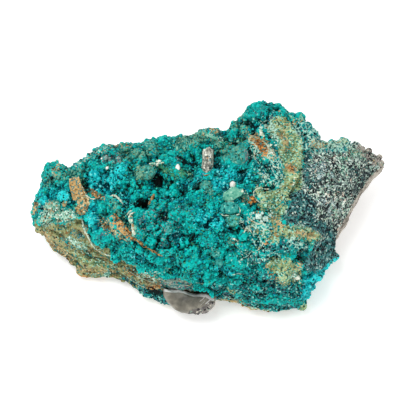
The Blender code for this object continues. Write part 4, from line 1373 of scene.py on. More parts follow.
@dataclass
class Domes:
    """The growths that are far bigger than the beads round them.

    A dome's root runs down into the stone. A crescent of another tone can lie along its right edge.
    """

    surface: Surface
    name: str = "domes"
    domes: tuple[Dome, ...] = DOMES
    divisions: int = 4
    lump_size: float = 1.1
    root: float = 2.2
    tint: float = 0.6
    waist_rise: float = 0.3
    crest_rise: float = 0.5
    crescent_from: float = 0.62
    crescent_edge: float = 3.0

    def build(self) -> Object:
        """Builds the domes.

        Returns:
            Their joined mesh as an object.
        """
        gathering = Gathering()
        unit, faces = ball(self.divisions)
        rooted = unit * np.where(unit[:, 2:] < 0.0, (1.0, 1.0, self.root), 1.0)
        # Painted light on each dome's upper half and painted shade toward its root.
        rise = self.waist_rise + self.crest_rise * unit[:, 2]
        crescent = np.clip((unit[:, 0] - self.crescent_from) * self.crescent_edge + 0.5, 0.0, 1.0)
        for number, dome in enumerate(self.domes):
            seat, normal = self.surface.seat(dome.place)
            out = leaning(normal)
            side = Vector((1.0, 0.0, 0.0))
            along = out.cross(side).normalized()
            shape = rooted @ np.array([side * dome.across, along * dome.along, out * dome.thick])
            shape *= 1.0 + dome.rough * uneven(shape, self.lump_size, number + 1)[:, None]
            points = np.array(seat) + (shape - np.array(out) * dome.sink) * MM
            marks: Marks = {tone.layer: amount for tone, amount in dome.tones}
            if dome.crescent:
                marks[Tone.DUSK.layer] = crescent
            gathering.add(points, faces, {**marks, "tint": self.tint, "rise": rise})
        return gathering.piece(self.name)


@dataclass(frozen=True)
class Route:
    """A thin ridge's route over the face, and its thickness where it is thickest."""

    places: tuple[Place, ...]
    half_width: float
    height: float
    lift: float = 0.0


@dataclass
class Veins:
    """Thin ridges of one mineral that run over the stone.

    A ridge lies on the level of the stone round it: it takes no step that is steeper than a bead, and
    ends where the stone strays too far from it.
    """

    surface: Surface
    name: str
    routes: tuple[Route, ...]
    tree: NodeTree
    material: Material
    step: float = 0.3
    sides: int = 10
    wobble: float = 0.5
    wobble_size: float = 1.2
    window: int = 3
    steepest: float = 2.0
    stray: float = 1.3
    taper: float = 1.2
    thinnest: float = 0.25
    swell: float = 0.7
    swell_size: float = 1.3
    rise: float = 0.3
    seed: int = 1

    def build(self) -> Object:
        """Builds the ridges.

        Returns:
            Their joined mesh as an object.
        """
        gathering = Gathering()
        for number, route in enumerate(self.routes):
            gathering.take(self.ridge(route, number), {"tint": PLAIN_TINT, "rise": self.rise})
        return gathering.piece(self.name)

    def longest_run(self, kept: np.ndarray) -> slice:
        """Finds the longest unbroken stretch of points that lie on the stone.

        Args:
            kept: For each point of a route, whether it lies on the stone.

        Returns:
            The stretch.
        """
        breaks = [-1, *np.flatnonzero(~kept), len(kept)]
        start, end = max(zip(breaks, breaks[1:]), key=lambda pair: pair[1] - pair[0])
        return slice(start + 1, end)

    def level(self, depth: np.ndarray) -> np.ndarray:
        """Finds the level that a ridge keeps over the beads and gaps that it crosses.

        Args:
            depth: How near to the viewer the stone lies at each of its points, in metres.

        Returns:
            How near the ridge lies, in the same way.
        """
        padded = np.pad(depth, self.window, mode="edge")
        level = np.array([np.median(padded[i:i + 2 * self.window + 1]) for i in range(len(depth))])
        step = self.steepest * self.step * MM
        for i in range(1, len(level)):
            level[i] = min(max(level[i], level[i - 1] - step), level[i - 1] + step)
        return level

    def ridge(self, route: Route, number: int) -> Object:
        """Builds one ridge.

        Args:
            route: Its route and thickness.
            number: Its number, which picks its unevenness.

        Returns:
            The ridge as an object.
        """
        seats = [self.surface.seat(place) for place in smooth_route(route.places, self.step)]
        points = np.array([point for point, _ in seats])
        away = np.array([leaning(normal) for _, normal in seats])
        depth = points @ OUTWARD
        level = self.level(depth)
        points += (level - depth + route.lift * MM)[:, None] * OUTWARD
        lying = self.longest_run(np.abs(level - depth) < self.stray * MM)
        points, away = points[lying], away[lying]
        run = np.linspace(0.0, 1.0, len(points))
        to_end = np.minimum(run, 1.0 - run) * len(points) * self.step
        swell = 1.0 + self.swell * uneven(points / MM, self.swell_size, self.seed + number)

        mesh = bpy.data.meshes.new("route")
        mesh.from_pydata(points.tolist(), [(i, i + 1) for i in range(len(points) - 1)], [])
        store(mesh, "thickness", np.clip(to_end / self.taper, self.thinnest, 1.0) * swell)
        layer = mesh.attributes.new("away", "FLOAT_VECTOR", "POINT")
        layer.data.foreach_set("vector", away.astype(np.float32).ravel())
        return run_tree(new_object("ridge", mesh), self.tree, {
            "Half width": route.half_width * MM, "Height": route.height * MM, "Wobble": self.wobble * MM,
            "Wobble size": self.wobble_size * MM, "Sides": self.sides, "Material": self.material,
        })


@dataclass(frozen=True)
class Chip:
    """A flat chip that is stuck to the face: its outline there, its lift and its thickness."""

    outline: tuple[Place, ...]
    lift: float
    thick: float
    tones: tuple[Patch, ...] = ()
    tilt: float = 0.0


@dataclass
class Chips:
    """Chips and plates that lie among the beads."""

    surface: Surface
    name: str
    chips: tuple[Chip, ...]
    voxel: float = 0.14
    rounds: int = 2
    rough: float = 0.10
    lump_size: float = 0.9
    rise: float = 0.2
    seed: int = 9

    def build(self) -> Object:
        """Builds the chips.

        Returns:
            Their joined mesh as an object.
        """
        gathering = Gathering()
        for number, chip in enumerate(self.chips):
            part = refined(self.slab(chip), self.voxel, self.rounds)
            points = vertex_array(part.data)
            lumps = self.rough * MM * uneven(points / MM, self.lump_size, self.seed + number)
            set_places(part.data, points + vertex_array(part.data, "normal") * lumps[:, None])
            masks = paint(part.data, chip.tones)
            marks: Marks = {tone.layer: mask for tone, mask in masks.items() if mask.any()}
            gathering.take(part, {**marks, "tint": PLAIN_TINT, "rise": self.rise})
        return gathering.piece(self.name)

    def slab(self, chip: Chip) -> Object:
        """Builds a chip's plain slab, seated on the stone.

        Args:
            chip: The chip's outline and sizes.

        Returns:
            The slab as an object.
        """
        seats = np.array([self.surface.seat(place)[0] for place in chip.outline])
        depth = seats @ OUTWARD
        middle = np.mean([place[1] for place in chip.outline])
        slope = np.array([(place[1] - middle) * chip.tilt * MM for place in chip.outline])
        level = np.median(depth) + chip.lift * MM + slope
        top = seats + (level - depth)[:, None] * OUTWARD
        bottom = top - chip.thick * MM * OUTWARD
        count = len(top)
        faces = [tuple(range(count)), tuple(range(2 * count - 1, count - 1, -1))]
        faces += [(i, count + i, count + (i + 1) % count, (i + 1) % count) for i in range(count)]
        mesh = bpy.data.meshes.new("slab")
        mesh.from_pydata(np.vstack([top, bottom]).tolist(), [], faces)
        joined = bmesh.new()
        joined.from_mesh(mesh)
        bmesh.ops.recalc_face_normals(joined, faces=joined.faces)
        joined.to_mesh(mesh)
        joined.free()
        return new_object("slab", mesh)


@dataclass
class Cubes:
    """A few mint-white blocky crystals beside the olive band: where each one sits, and its size."""

    surface: Surface
    blocks: tuple[tuple[Place, float], ...] = (
        ((15.8, -2.0), 1.7), ((18.0, -2.8), 1.6), ((17.0, -0.9), 0.9), ((16.7, -3.6), 0.8),
        ((14.4, -2.6), 0.7), ((19.4, -1.6), 0.8), ((14.2, -0.9), 0.6),
    )
    bevel: float = 0.09
    lean: tuple[float, float] = (0.3, 0.9)
    tint: tuple[float, float] = (0.3, 0.9)
    rough: float = 0.12
    lump_size: float = 0.8
    rise: float = 0.5
    seed: int = 31

    def build(self) -> Object:
        """Builds the blocks.

        Returns:
            Their joined mesh as an object.
        """
        picker = random.Random(self.seed)
        gathering = Gathering()
        for place, size in self.blocks:
            seat, _ = self.surface.seat(place)
            mesh = bmesh.new()
            bmesh.ops.create_cube(mesh, size=size * MM)
            bevel = self.bevel * size * MM
            bmesh.ops.bevel(mesh, geom=mesh.edges[:], offset=bevel, segments=2, affect="EDGES")
            turn = Matrix.Rotation(picker.uniform(0.0, math.pi), 3, "Z")
            lean = Matrix.Rotation(picker.uniform(*self.lean), 3, "X")
            points = np.array([(lean @ turn @ v.co)[:] for v in mesh.verts])
            lumps = uneven(points / MM, self.lump_size, picker.randrange(50))
            faces = [tuple(v.index for v in face.verts) for face in mesh.faces]
            mesh.free()
            shape = points * (1.0 + self.rough * lumps[:, None]) + np.array(seat)
            gathering.add(shape, faces, {"tint": picker.uniform(*self.tint), "rise": self.rise})
        return gathering.piece("mint_blocks", smooth=False)


CREAM_ROUTES: tuple[Route, ...] = (
    # The cream line between the crust and the bare wall, and its branches.
    Route(
        ((-38.2, -2.8), (-37.7, -5.4), (-36.2, -8.4), (-34.5, -11.4), (-32.1, -13.1), (-28.5, -14.4)),
        0.28, 0.42,
    ),
    Route(((-30.3, 3.9), (-28.1, 4.4), (-26.3, 2.8), (-25.6, 1.6)), 0.32, 0.45),
    Route(
        ((-38.4, 6.6), (-37, 4.6), (-35.2, 3.4), (-32.4, 4), (-30.6, 3.2), (-30.2, 1.6)),
        0.22, 0.4, 0.2,
    ),
    Route(((-19.2, -19.6), (-17, -19.9), (-14.6, -19.4), (-12.6, -18.8), (-11, -17.8)), 0.14, 0.2),
    Route(((-17.8, 1.5), (-17.4, 2.6), (-16.4, 3.8)), 0.25, 0.5, 0.3),
    # Rims and squiggles round the right of the face.
    Route(((13.2, 19.4), (14.6, 17.6), (15, 15.4), (16.3, 13.9)), 0.2, 0.35),
    Route(((17.6, 21), (19, 19.4), (19.7, 18), (21, 16.2), (23.4, 16.2)), 0.24, 0.35),
    Route(((19.7, 14.8), (20.6, 13.2), (21.6, 13), (22.2, 11.2), (23.5, 10)), 0.2, 0.35),
    Route(((20.4, 8.4), (21.2, 7.2), (22.6, 7), (23.2, 8)), 0.18, 0.3),
    Route(((16.3, 10.2), (18.3, 10), (18.2, 8.8)), 0.18, 0.35),
    Route(
        ((18, 2.3), (15.9, 2.6), (14.6, 4), (14.4, 5.4), (15.2, 6.4), (16.8, 6.5), (19, 6.3), (19.8, 5.3)),
        0.24, 0.4, 0.1,
    ),
    Route(((15.3, 6.2), (15.5, 7.2), (15.8, 8.4)), 0.36, 0.5, 0.1),
    Route(((12.5, -2.2), (13.8, -3.2), (15.6, -4.3), (17, -4), (17.7, -5.1)), 0.28, 0.45, 0.2),
    Route(((11.3, -7), (12.2, -5.6), (13.4, -6.5), (14.6, -8.2)), 0.24, 0.4),
    Route(((7, -9.1), (8.4, -8.7), (9.7, -9.7)), 0.32, 0.45),
    Route(((14.8, -12.6), (16.2, -11.6), (17.4, -9.9), (19.2, -8.8)), 0.16, 0.3),
    Route(((7.6, -19.7), (9.6, -19.4), (11.4, -19.5)), 0.2, 0.3),
    Route(((5.6, 2.6), (7, 2.4), (8.3, 2.7)), 0.22, 0.35, 1),
    Route(((9.7, 1.2), (10.2, -0.2), (9.4, -1.5), (6, -1.7), (4.1, -1.2)), 0.18, 0.3, 0.3),
    Route(((16.6, 25), (17.2, 23.4)), 0.34, 0.5),
    Route(((6.8, -28.3), (10.4, -28.9), (14.6, -30.2), (19.8, -31)), 0.24, 0.3),
)

MINT_ROUTES: tuple[Route, ...] = (
    # The pale nodular ridge up the middle of the left half.
    Route(
        ((-20.4, 3.6), (-20.4, 1.6), (-21.4, -0.2), (-23.2, -1.6), (-22.6, -3.4), (-22.4, -5.6),
         (-21.8, -8)),
        0.44, 0.7, 0.5,
    ),
    Route(((-22.4, 0.2), (-24, -1), (-24.6, -2)), 0.26, 0.4, 0.2),
)

SEAM_ROUTES: tuple[Route, ...] = (
    # Thin pale seams in the layered band over the chalcedony.
    Route(
        ((-13.5, -22.1), (-11.6, -22), (-9.2, -21.7), (-6.8, -21.8), (-4.5, -22.6), (-2.1, -23.3),
         (0.3, -23.6)),
        0.16, 0.25,
    ),
    Route(((-13.2, -22.9), (-11, -22.9), (-9.4, -22.6)), 0.12, 0.2),
    Route(((-9.4, -21.9), (-9.2, -23.3), (-9.5, -24)), 0.14, 0.25),
    Route(
        ((-9.2, -23.2), (-6.8, -23), (-4.5, -23.3), (-1.6, -24.4), (1.4, -25), (3.4, -25.2)),
        0.15, 0.25,
    ),
    Route(((-3.8, -22), (-0.6, -22.6), (2.2, -22.9)), 0.12, 0.2),
    Route(((-25, -20.2), (-22.7, -21.9), (-20.3, -23.3), (-18.7, -23.8)), 0.14, 0.25),
    Route(((-24.2, -18.4), (-21, -20.6), (-17.6, -21.8), (-14.4, -22)), 0.12, 0.2),
    Route(((0.3, -24), (3.3, -25.6), (5, -26.2), (7.4, -27.1), (10, -28)), 0.16, 0.25),
)

RUST_ROUTES: tuple[Route, ...] = (
    # The sharp brown crest that runs down to the middle, and the thin ridges above it.
    Route(
        ((-28.4, -0.8), (-26.2, -3.8), (-23.8, -7), (-19.9, -10.1), (-16.8, -12.3), (-13.2, -14.1)),
        0.34, 1.1,
    ),
    Route(((-36.4, 5.6), (-33.6, 4.6), (-30.3, 3.6)), 0.36, 0.6),
    Route(((-36.8, 9.6), (-36, 7.4), (-34.8, 6), (-32.6, 4.8)), 0.24, 0.4),
    Route(((-18.6, -24.1), (-16.8, -24.2), (-15.2, -23.6), (-13.9, -23.3)), 0.3, 0.4),
    Route(((-13.8, -23.7), (-13.5, -24.8)), 0.26, 0.3),
    Route(((-1.2, 11.2), (-0.4, 10.6), (0.9, 10.8)), 0.18, 0.3, 0.3),
)

CHIPS: tuple[Chip, ...] = (
    Chip(
        ((4.9, 3.2), (5.2, 5.2), (6.7, 6.2), (7.6, 7), (8.9, 7), (10, 6.2), (11.1, 6.6), (11.3, 5.3),
         (10.6, 4.4), (9.5, 3.9), (8.1, 2.9), (6.7, 2.7), (5.7, 2.8)), 1.5, 3,
        (Patch(Tone.PALE, 0.8, ((10.8, 5.8),), 0.6, 0.6),),
        -0.1,
    ),
    Chip(
        ((-0.7, 22.9), (1.2, 22.2), (3.4, 21.2), (4.2, 21.4), (3.6, 22.2), (1.4, 23), (0, 23.5)), 0.8, 2.4,
    ),
    Chip(((27.7, 27), (28.6, 28.8), (29.3, 29.9), (29.7, 28.6), (30.3, 27.4), (29, 26.6)), 1.2, 2.6),
    Chip(((25.3, 29.4), (26, 29.2), (27, 28.6), (27.2, 27.9), (26.2, 28), (25.5, 28.6)), 0.8, 2),
)

RUST_PLATES: tuple[Chip, ...] = (
    Chip(((-17.9, 1.6), (-17.3, 1.5), (-16.3, 3.2), (-15.7, 4.8), (-16.2, 5), (-17.2, 3.4)), 0.8, 2.4),
)

TAN_PLATES: tuple[Chip, ...] = (
    Chip(
        ((-42.2, 9.6), (-39.2, 10.2), (-38.6, 8), (-37.5, 6.2), (-36.6, 3.4), (-37, 0.8), (-39, -0.8),
         (-40.2, -1), (-40.5, 1.2), (-41.4, 4.3), (-42.1, 7)), 0.5, 2.2,
    ),
    Chip(
        ((-27.4, -3.8), (-26, -3.2), (-24.6, -5), (-22.6, -7.3), (-20.4, -9.2), (-20.5, -10.1),
         (-23.1, -9.1), (-25.6, -7.3), (-27.2, -5.6)),
        0.4, 2,
        (Patch(Tone.RUST, 1.6, ((-25, -4.6), (-20.4, -9.6)), 0.66, 1.5),),
    ),
)

NODULES: tuple[Dome, ...] = (
    # The pale nodular ridge up the middle of the left half, and pale lumps at the left end.
    Dome((-23, -3.3), 0.7, 0.8, 0.6, -0.2, 0.35, ((Tone.PALE, 0.45),)),
    Dome((-21.9, -7.4), 0.75, 0.95, 0.6, -0.1, 0.35),
    Dome((-21.6, -5.4), 0.55, 0.8, 0.5, -0.1, 0.35),
    Dome((-9, 18.8), 0.35, 0.8, 0.5, -0.2, 0.25),
    Dome((-6.6, 19.2), 0.4, 1.1, 0.5, -0.2, 0.25),
    Dome((-16.2, 14.2), 1.3, 0.4, 0.4, -0.3, 0.25, ((Tone.PALE, 0.46),)),
    Dome((-14.6, 14.9), 1.0, 0.45, 0.4, -0.3, 0.25, ((Tone.PALE, 0.46),)),
    Dome((27.7, -20.6), 0.95, 0.75, 0.7, -0.1, 0.2, ((Tone.PALE, 0.6),)),
    Dome((9.6, 21), 0.55, 0.45, 0.5, -0.1, 0.25),
)

TIPS: tuple[Dome, ...] = (
    Dome((8, 7.6), 0.9, 1.1, 0.8, -0.7, 0.06),
    Dome((-8.8, 12.8), 0.75, 1.2, 0.8, -0.1, 0.1),
    Dome((-30.6, 12.9), 0.5, 0.5, 0.5, -0.1, 0.06),
    Dome((-32.2, 15.8), 0.45, 0.4, 0.4, -0.1, 0.06),
)

TIP_KNOBS: tuple[Dome, ...] = tuple(
    # Rounded grey-brown knobs at the tip of the right end.
    Dome(place, across, along, thick, 0.1, 0.22, ((Tone.UMBER, amount),))
    for place, across, along, thick, amount in (
        ((48.2, 19), 1.1, 0.9, 0.8, 0.7), ((50.4, 18.3), 1.1, 1, 0.8, 0.7),
        ((52.2, 17.6), 1.1, 1, 0.8, 0.7), ((53.6, 16.2), 1, 1.1, 0.8, 0.7),
        ((54.2, 14.4), 1, 1.1, 0.8, 0.7), ((50.2, 16.4), 0.9, 0.8, 0.6, 0.6),
        ((51.8, 14.8), 0.8, 0.8, 0.6, 0.6), ((48, 16.8), 0.7, 0.7, 0.6, 0.6),
    )
)


@dataclass
class Chalcedony:
    """The smooth grey chalcedony in the front wall."""

    node: Object
    voxel: float = 0.26
    rounds: int = 4
    soft: float = 0.26
    soft_size: float = 2.8
    rough: float = 0.5
    rough_size: float = 0.9

    def build(self) -> Object:
        """Builds the lump: smooth and bowed, with a rough brown foot at its right.

        Returns:
            The lump, painted.
        """
        obj = refined(merged_copy(self.node, "chalcedony"), self.voxel, self.rounds)
        masks = paint(obj.data, CHALCEDONY_PATCHES)
        points, normals = vertex_array(obj.data), vertex_array(obj.data, "normal")
        soft = self.soft * uneven(points / MM, self.soft_size, 4)
        rough = self.rough * ramp(masks[Tone.UMBER], 0.2, 0.5) * uneven(points / MM, self.rough_size, 5)
        set_places(obj.data, points + normals * ((soft + rough) * MM)[:, None])
        store(obj.data, "tint", PLAIN_TINT)
        obj.data.shade_smooth()
        return obj


@dataclass
class QuartzPrism:
    """The single quartz crystal, with etched, cracked faces, a worn point and a foot that leans out."""

    node: Object
    voxel: float = 0.12
    rounds: int = 6
    etch_grain: tuple[float, float, float] = (1.6, 0.7, 0.7)
    etch_size: float = 0.8
    etch_depth: float = 0.12
    etch_rise: float = 1.4
    shoulder: float = 2.0
    blunt: float = 0.5
    length: float = 8.7
    lift: float = 0.7
    lean: float = 0.2

    def build(self) -> Object:
        """Builds the crystal.

        Returns:
            The crystal, painted.
        """
        obj = refined(merged_copy(self.node, "quartz_crystal"), self.voxel, self.rounds)
        paint(obj.data, QUARTZ_PATCHES)
        points, normals = vertex_array(obj.data), vertex_array(obj.data, "normal")
        run = points @ UPWARD / MM
        knee = run.max() - self.shoulder
        worn = np.minimum(run, knee) + self.blunt * np.maximum(run - knee, 0.0)
        long = run.max() + (worn - worn.max()) * self.length / (worn.max() - worn.min())
        raised = self.lift + self.lean * (long.max() - long)
        shift = (long - run)[:, None] * UPWARD + raised[:, None] * OUTWARD
        etch = uneven(points / MM * np.array(self.etch_grain), self.etch_size, 6)
        set_places(obj.data, points + (shift + normals * (self.etch_depth * etch)[:, None]) * MM)
        # Painted shade in the etched pits and painted light on the raised etch.
        store(obj.data, "rise", self.etch_rise * etch)
        store(obj.data, "tint", PLAIN_TINT)
        obj.data.shade_smooth()
        return obj


# ---------------------------------------------------------------------------------------------------
# The crust and the rock
# ---------------------------------------------------------------------------------------------------


@dataclass(frozen=True)
class Spread:
    """One size of small rounded growths, or of grains, and how they are strewn, in millimetres.

    The room is the attribute that says how thickly they grow. The sink is a share of the radius.
    """

    name: str
    room: str
    spacing: float
    least_radius: float
    most_radius: float
    sink: float
    wobble: float
    facets: int
    smooth: bool
    seed: int

    def grow(self, carrier: Object, tree: NodeTree, material: Material) -> Object:
        """Strews the growths over a dressed surface.

        Args:
            carrier: The surface's object, which stays as it is.
            tree: The growth tree.
            material: The growths' finish.

        Returns:
            Their joined mesh as an object.
        """
        return run_tree(new_object(self.name, carrier.data.copy()), tree, {
            "Room": self.room, "Spacing": self.spacing * MM, "Least radius": self.least_radius * MM,
            "Most radius": self.most_radius * MM, "Sink": self.sink, "Wobble": self.wobble * MM,
            "Facets": self.facets, "Smooth": self.smooth, "Seed": self.seed, "Material": material,
        })


BEADS: tuple[Spread, ...] = (
    Spread("crust_beads_large", "bead_room", 2.1, 0.60, 1.05, 0.35, 0.75, 2, True, 11),
    Spread("crust_beads", "bead_room", 1.2, 0.35, 0.65, 0.2, 0.4, 2, True, 12),
    Spread("crust_grit", "grit_room", 0.85, 0.16, 0.34, 0.1, 0.2, 1, True, 13),
)
OUTLIERS = Spread("outlying_beads", "stain_room", 1.45, 0.30, 0.68, 0.2, 0.4, 2, True, 22)
ROCK_GRAINS = Spread("rock_grains", "speck_room", 0.7, 0.16, 0.46, 0.1, 0.35, 1, False, 21)


@dataclass(frozen=True)
class Weathering:
    """How a form is weathered: its bumps' sizes and heights and its gaps' depth, in millimetres."""

    clump_size: float
    clump_height: float
    lump_size: float
    lump_height: float
    grain_size: float
    grain_height: float
    gap_depth: float
    smoothing: int

    def wear(self, obj: Object, tree: NodeTree, material: Material) -> None:
        """Weathers a form as far as its "relief" says, and keeps it over the floor.

        Args:
            obj: The form.
            tree: The weathering tree.
            material: The form's finish.
        """
        lengths = asdict(self)
        smoothing = lengths.pop("smoothing")
        values = {name.replace("_", " ").capitalize(): length * MM for name, length in lengths.items()}
        run_tree(obj, tree, {**values, "Smoothing": smoothing, "Material": material})
        places = vertex_array(obj.data)
        places[:, 2] = np.maximum(places[:, 2], 0.0)
        set_places(obj.data, places)


@dataclass
class Crust:
    """The turquoise crust's skin, which carries the beads.

    It is calm, with little relief, where the flat tones lie and where it is kept bare.
    """

    node: Object
    rock: Object
    voxel: float = 0.43
    rounds: int = 3
    weathering: Weathering = Weathering(5.2, 1.2, 2.2, 0.9, 1.0, 0.5, 1.5, 50)
    flat_tones: tuple[Tone, ...] = (Tone.OLIVE, Tone.MOSS, Tone.TAN, Tone.MINT, Tone.SLATE)
    flat_calm: float = 0.75
    bare_calm: float = 0.9
    deep_loss: float = 0.8
    least_grit: float = 0.25
    flat_grit: float = 0.5
    bare_loss: float = 0.6

    def skin(self, tree: NodeTree, material: Material) -> Object:
        """Builds the crust's skin.

        Args:
            tree: The weathering tree.
            material: The crust's finish.

        Returns:
            The skin, painted, with its room for beads stored on it.
        """
        obj = refined(merged_copy(self.node, "crust_skin"), self.voxel, self.rounds)
        masks = paint(obj.data, FACE_PATCHES)
        flat = np.maximum.reduce([masks[tone] for tone in self.flat_tones])
        outside = self.outside(obj)
        kept_bare = masks[Tone.BARE]
        calm = np.maximum(self.flat_calm * ramp(flat, 0.3, 0.5), self.bare_calm * kept_bare)
        store(obj.data, "relief", outside * (1.0 - calm))
        self.weathering.wear(obj, tree, material)
        bare = ramp(flat, 0.25, 0.5)
        # Fewer beads where painted shade darkens the gaps.
        dark = self.deep_loss * ramp(masks[Tone.DEEP], 0.3, 0.5)
        store(obj.data, "bead_room", outside * (1.0 - bare) * (1.0 - dark) * (1.0 - kept_bare))
        grit = self.least_grit + self.flat_grit * bare
        store(obj.data, "grit_room", outside * grit * (1.0 - self.bare_loss * kept_bare))
        store(obj.data, "tint", PLAIN_TINT)
        obj.data.shade_smooth()
        return obj

    def outside(self, obj: Object) -> np.ndarray:
        """Tells the crust's outer face from the one that lies on the rock.

        Args:
            obj: The skin.

        Returns:
            For each vertex, 1 on the outer face and 0 underneath.
        """
        rock = BVHTree.FromObject(self.rock, bpy.context.evaluated_depsgraph_get())
        far = np.zeros(len(obj.data.vertices))
        normals = vertex_array(obj.data, "normal")
        for i, vertex in enumerate(obj.data.vertices):
            near = rock.find_nearest(vertex.co)[0]
            away = vertex.co - near
            far[i] = away.length / MM if away.dot(Vector(normals[i])) > 0.0 else 0.0
        return ramp(far, 0.5, 0.5)


@dataclass(frozen=True)
class Cloud:
    """Clouds of one tone: their size in millimetres, how rare and how strong they are, and their seed."""

    tone: Tone
    size: float
    cut: float
    amount: float
    seed: int
    edge: float = 2.5
    squash: float = 1.8

    def lies(self, points: np.ndarray, where: np.ndarray) -> np.ndarray:
        """Tells how strongly the tone lies at points in millimetres, where the clouds reach them."""
        cloud = uneven(points * np.array((1.0, 1.0, self.squash)), self.size, self.seed)
        return self.amount * np.clip(0.5 + self.edge * (cloud - self.cut), 0.0, 1.0) * where


# The weathered colours of the walls that the viewer doesn't see.
BACK_CLOUDS: tuple[Cloud, ...] = (
    Cloud(Tone.MOSS, 9.0, -0.05, 0.9, 41),
    Cloud(Tone.OLIVE, 7.0, 0.25, 0.7, 42),
    Cloud(Tone.TAN, 8.0, 0.15, 0.7, 43),
    Cloud(Tone.RUST, 5.0, 0.34, 0.8, 44),
    Cloud(Tone.UMBER, 8.0, 0.2, 0.8, 45),
    Cloud(Tone.DUSK, 5.0, 0.3, 0.7, 46),
)

# The clusters of dark and of pale grains in the speckled end.
SPECK_CLOUDS: tuple[Cloud, ...] = (
    Cloud(Tone.INK, 2.0, 0.06, 0.66, 51),
    Cloud(Tone.FROST, 2.4, 0.30, 0.58, 52),
    Cloud(Tone.PALE, 1.5, 0.24, 0.60, 53),
    Cloud(Tone.MINT, 1.6, 0.40, 0.56, 54),
)


@dataclass
class HostRock:
    """The bare host rock: broken walls, the speckled end with its worn side, and the flat back.

    Its walls break in blocks and beds. Beside the crust it swells up to meet it, and the crust's colour
    creeps over it, farthest on the back.
    """

    node: Object
    crust: Object
    voxel: float = 0.55
    rounds: int = 2
    weathering: Weathering = Weathering(4.5, 0.8, 1.8, 0.6, 0.9, 0.35, 0.5, 30)
    block_size: tuple[float, float, float] = (7.0, 7.0, 4.0)
    block_height: float = 1.3
    block_middle: float = 0.35
    bed_grain: tuple[float, float, float] = (0.16, 0.16, 1.0)
    bed_size: float = 1.3
    bed_height: float = 0.4
    bed_tint: float = 1.2
    foot: float = 1.2
    wall_foot: float = 3.0
    swell: float = 1.1
    swell_reach: float = 3.5
    side_line: tuple[Place, Place] = ((55.2, 13.4), (41.0, -8.6))
    side_width: float = 0.7
    side_calm: float = 0.9
    creep: float = 2.4
    back_creep: float = 3.2
    creep_edge: float = 1.4
    bare_loss: float = 0.75
    drip: float = 1.3
    drip_grain: tuple[float, float, float] = (1.0, 1.0, 0.35)
    drip_size: float = 5.0
    stain_amount: float = 0.9

    def body(self, tree: NodeTree, material: Material) -> Object:
        """Builds the rock.

        Args:
            tree: The weathering tree.
            material: The rock's finish.

        Returns:
            The rock, painted, with its room for beads and grains stored on it.
        """
        obj = refined(merged_copy(self.node, "rock_body"), self.voxel, self.rounds)
        places, normals = vertex_array(obj.data), vertex_array(obj.data, "normal")
        height = places[:, 2] / MM
        cells = [noise.voronoi(Vector(p / MM / np.array(self.block_size)))[0] for p in places]
        blocks = np.array([second - first for first, second, _, _ in cells]) - self.block_middle
        on_wall = ramp(np.abs(normals[:, 2]), 0.75, -0.3) * ramp(height, 0.0, self.wall_foot)
        side, outward = self.worn_side(obj, places, normals)
        beds = uneven(places / MM * np.array(self.bed_grain), self.bed_size, 3)
        gap = self.gap_to_crust(places)
        steps = self.block_height * on_wall * blocks + self.bed_height * on_wall * beds
        swell = self.swell * np.clip(1.0 - gap / self.swell_reach, 0.0, 1.0)
        places += normals * (MM * (1.0 - side) * (steps + swell))[:, None]
        places += (self.side_width * MM * side)[:, None] * outward
        set_places(obj.data, places)

        masks = paint(obj.data, ROCK_PATCHES + FACE_PATCHES)
        self.add_clouds(obj, side, masks)
        stain = self.stain(places, normals, gap, masks)
        store(obj.data, Tone.TEAL.layer, np.maximum(masks[Tone.TEAL], self.stain_amount * stain))
        grown = np.maximum(np.clip(3.0 * stain - 1.2, 0.0, 1.0), ramp(masks[Tone.NIGHT], 0.3, 0.5))
        store(obj.data, "stain_room", grown)
        calm = self.side_calm * ramp(np.maximum(masks[Tone.BEIGE], side), 0.0, 0.5)
        store(obj.data, "relief", ramp(places[:, 2] / MM, 0.0, self.foot) * (1.0 - calm))
        self.weathering.wear(obj, tree, material)
        facing = vertex_array(obj.data, "normal") @ OUTWARD
        speck = ramp(masks[Tone.SPECK], 0.4, 0.5) * (1.0 - masks[Tone.BEIGE])
        store(obj.data, "speck_room", speck * np.clip(3.0 * facing, 0.0, 1.0))
        store(obj.data, "tint", PLAIN_TINT + self.bed_tint * beds * (1.0 - speck))
        obj.data.shade_smooth()
        return obj

    def worn_side(self, obj: Object, places: np.ndarray,
                  normals: np.ndarray) -> tuple[np.ndarray, np.ndarray]:
        """Finds the smooth worn side of the right end, which shows under its upper edge.

        Args:
            obj: The rock.
            places: Its points, in metres.
            normals: Their normals.

        Returns:
            For each point, from 0 elsewhere to 1 on the side, and the direction that the side faces.
        """
        start, end = np.array(self.side_line, float)
        length = np.linalg.norm(end - start)
        along = (end - start) / length
        out = np.array((-along[1], along[0]))
        seen = across_and_up(places) - start
        run, over = seen @ along, seen @ out
        own = BVHTree.FromObject(obj, bpy.context.evaluated_depsgraph_get())
        covered = np.array([
            own.ray_cast(Vector(p) + MM * TOWARD_VIEWER, TOWARD_VIEWER)[0] is not None for p in places
        ])
        under = covered * ramp(over, -9.0, 3.0)
        turned = ramp(normals @ OUTWARD, 0.5, -0.3) * ramp(over, -2.2, 1.0)
        outward = out[0] * np.array((1.0, 0.0, 0.0)) + out[1] * UPWARD
        ends = ramp(run, -1.0, 1.0) * ramp(run, length + 2.0, -2.0)
        return ends * np.maximum(under, turned), outward

    def gap_to_crust(self, places: np.ndarray) -> np.ndarray:
        """Measures how far the rock's points lie from the crust, in millimetres."""
        crust = BVHTree.FromObject(self.crust, bpy.context.evaluated_depsgraph_get())
        return np.array([crust.find_nearest(Vector(p))[3] for p in places]) / MM

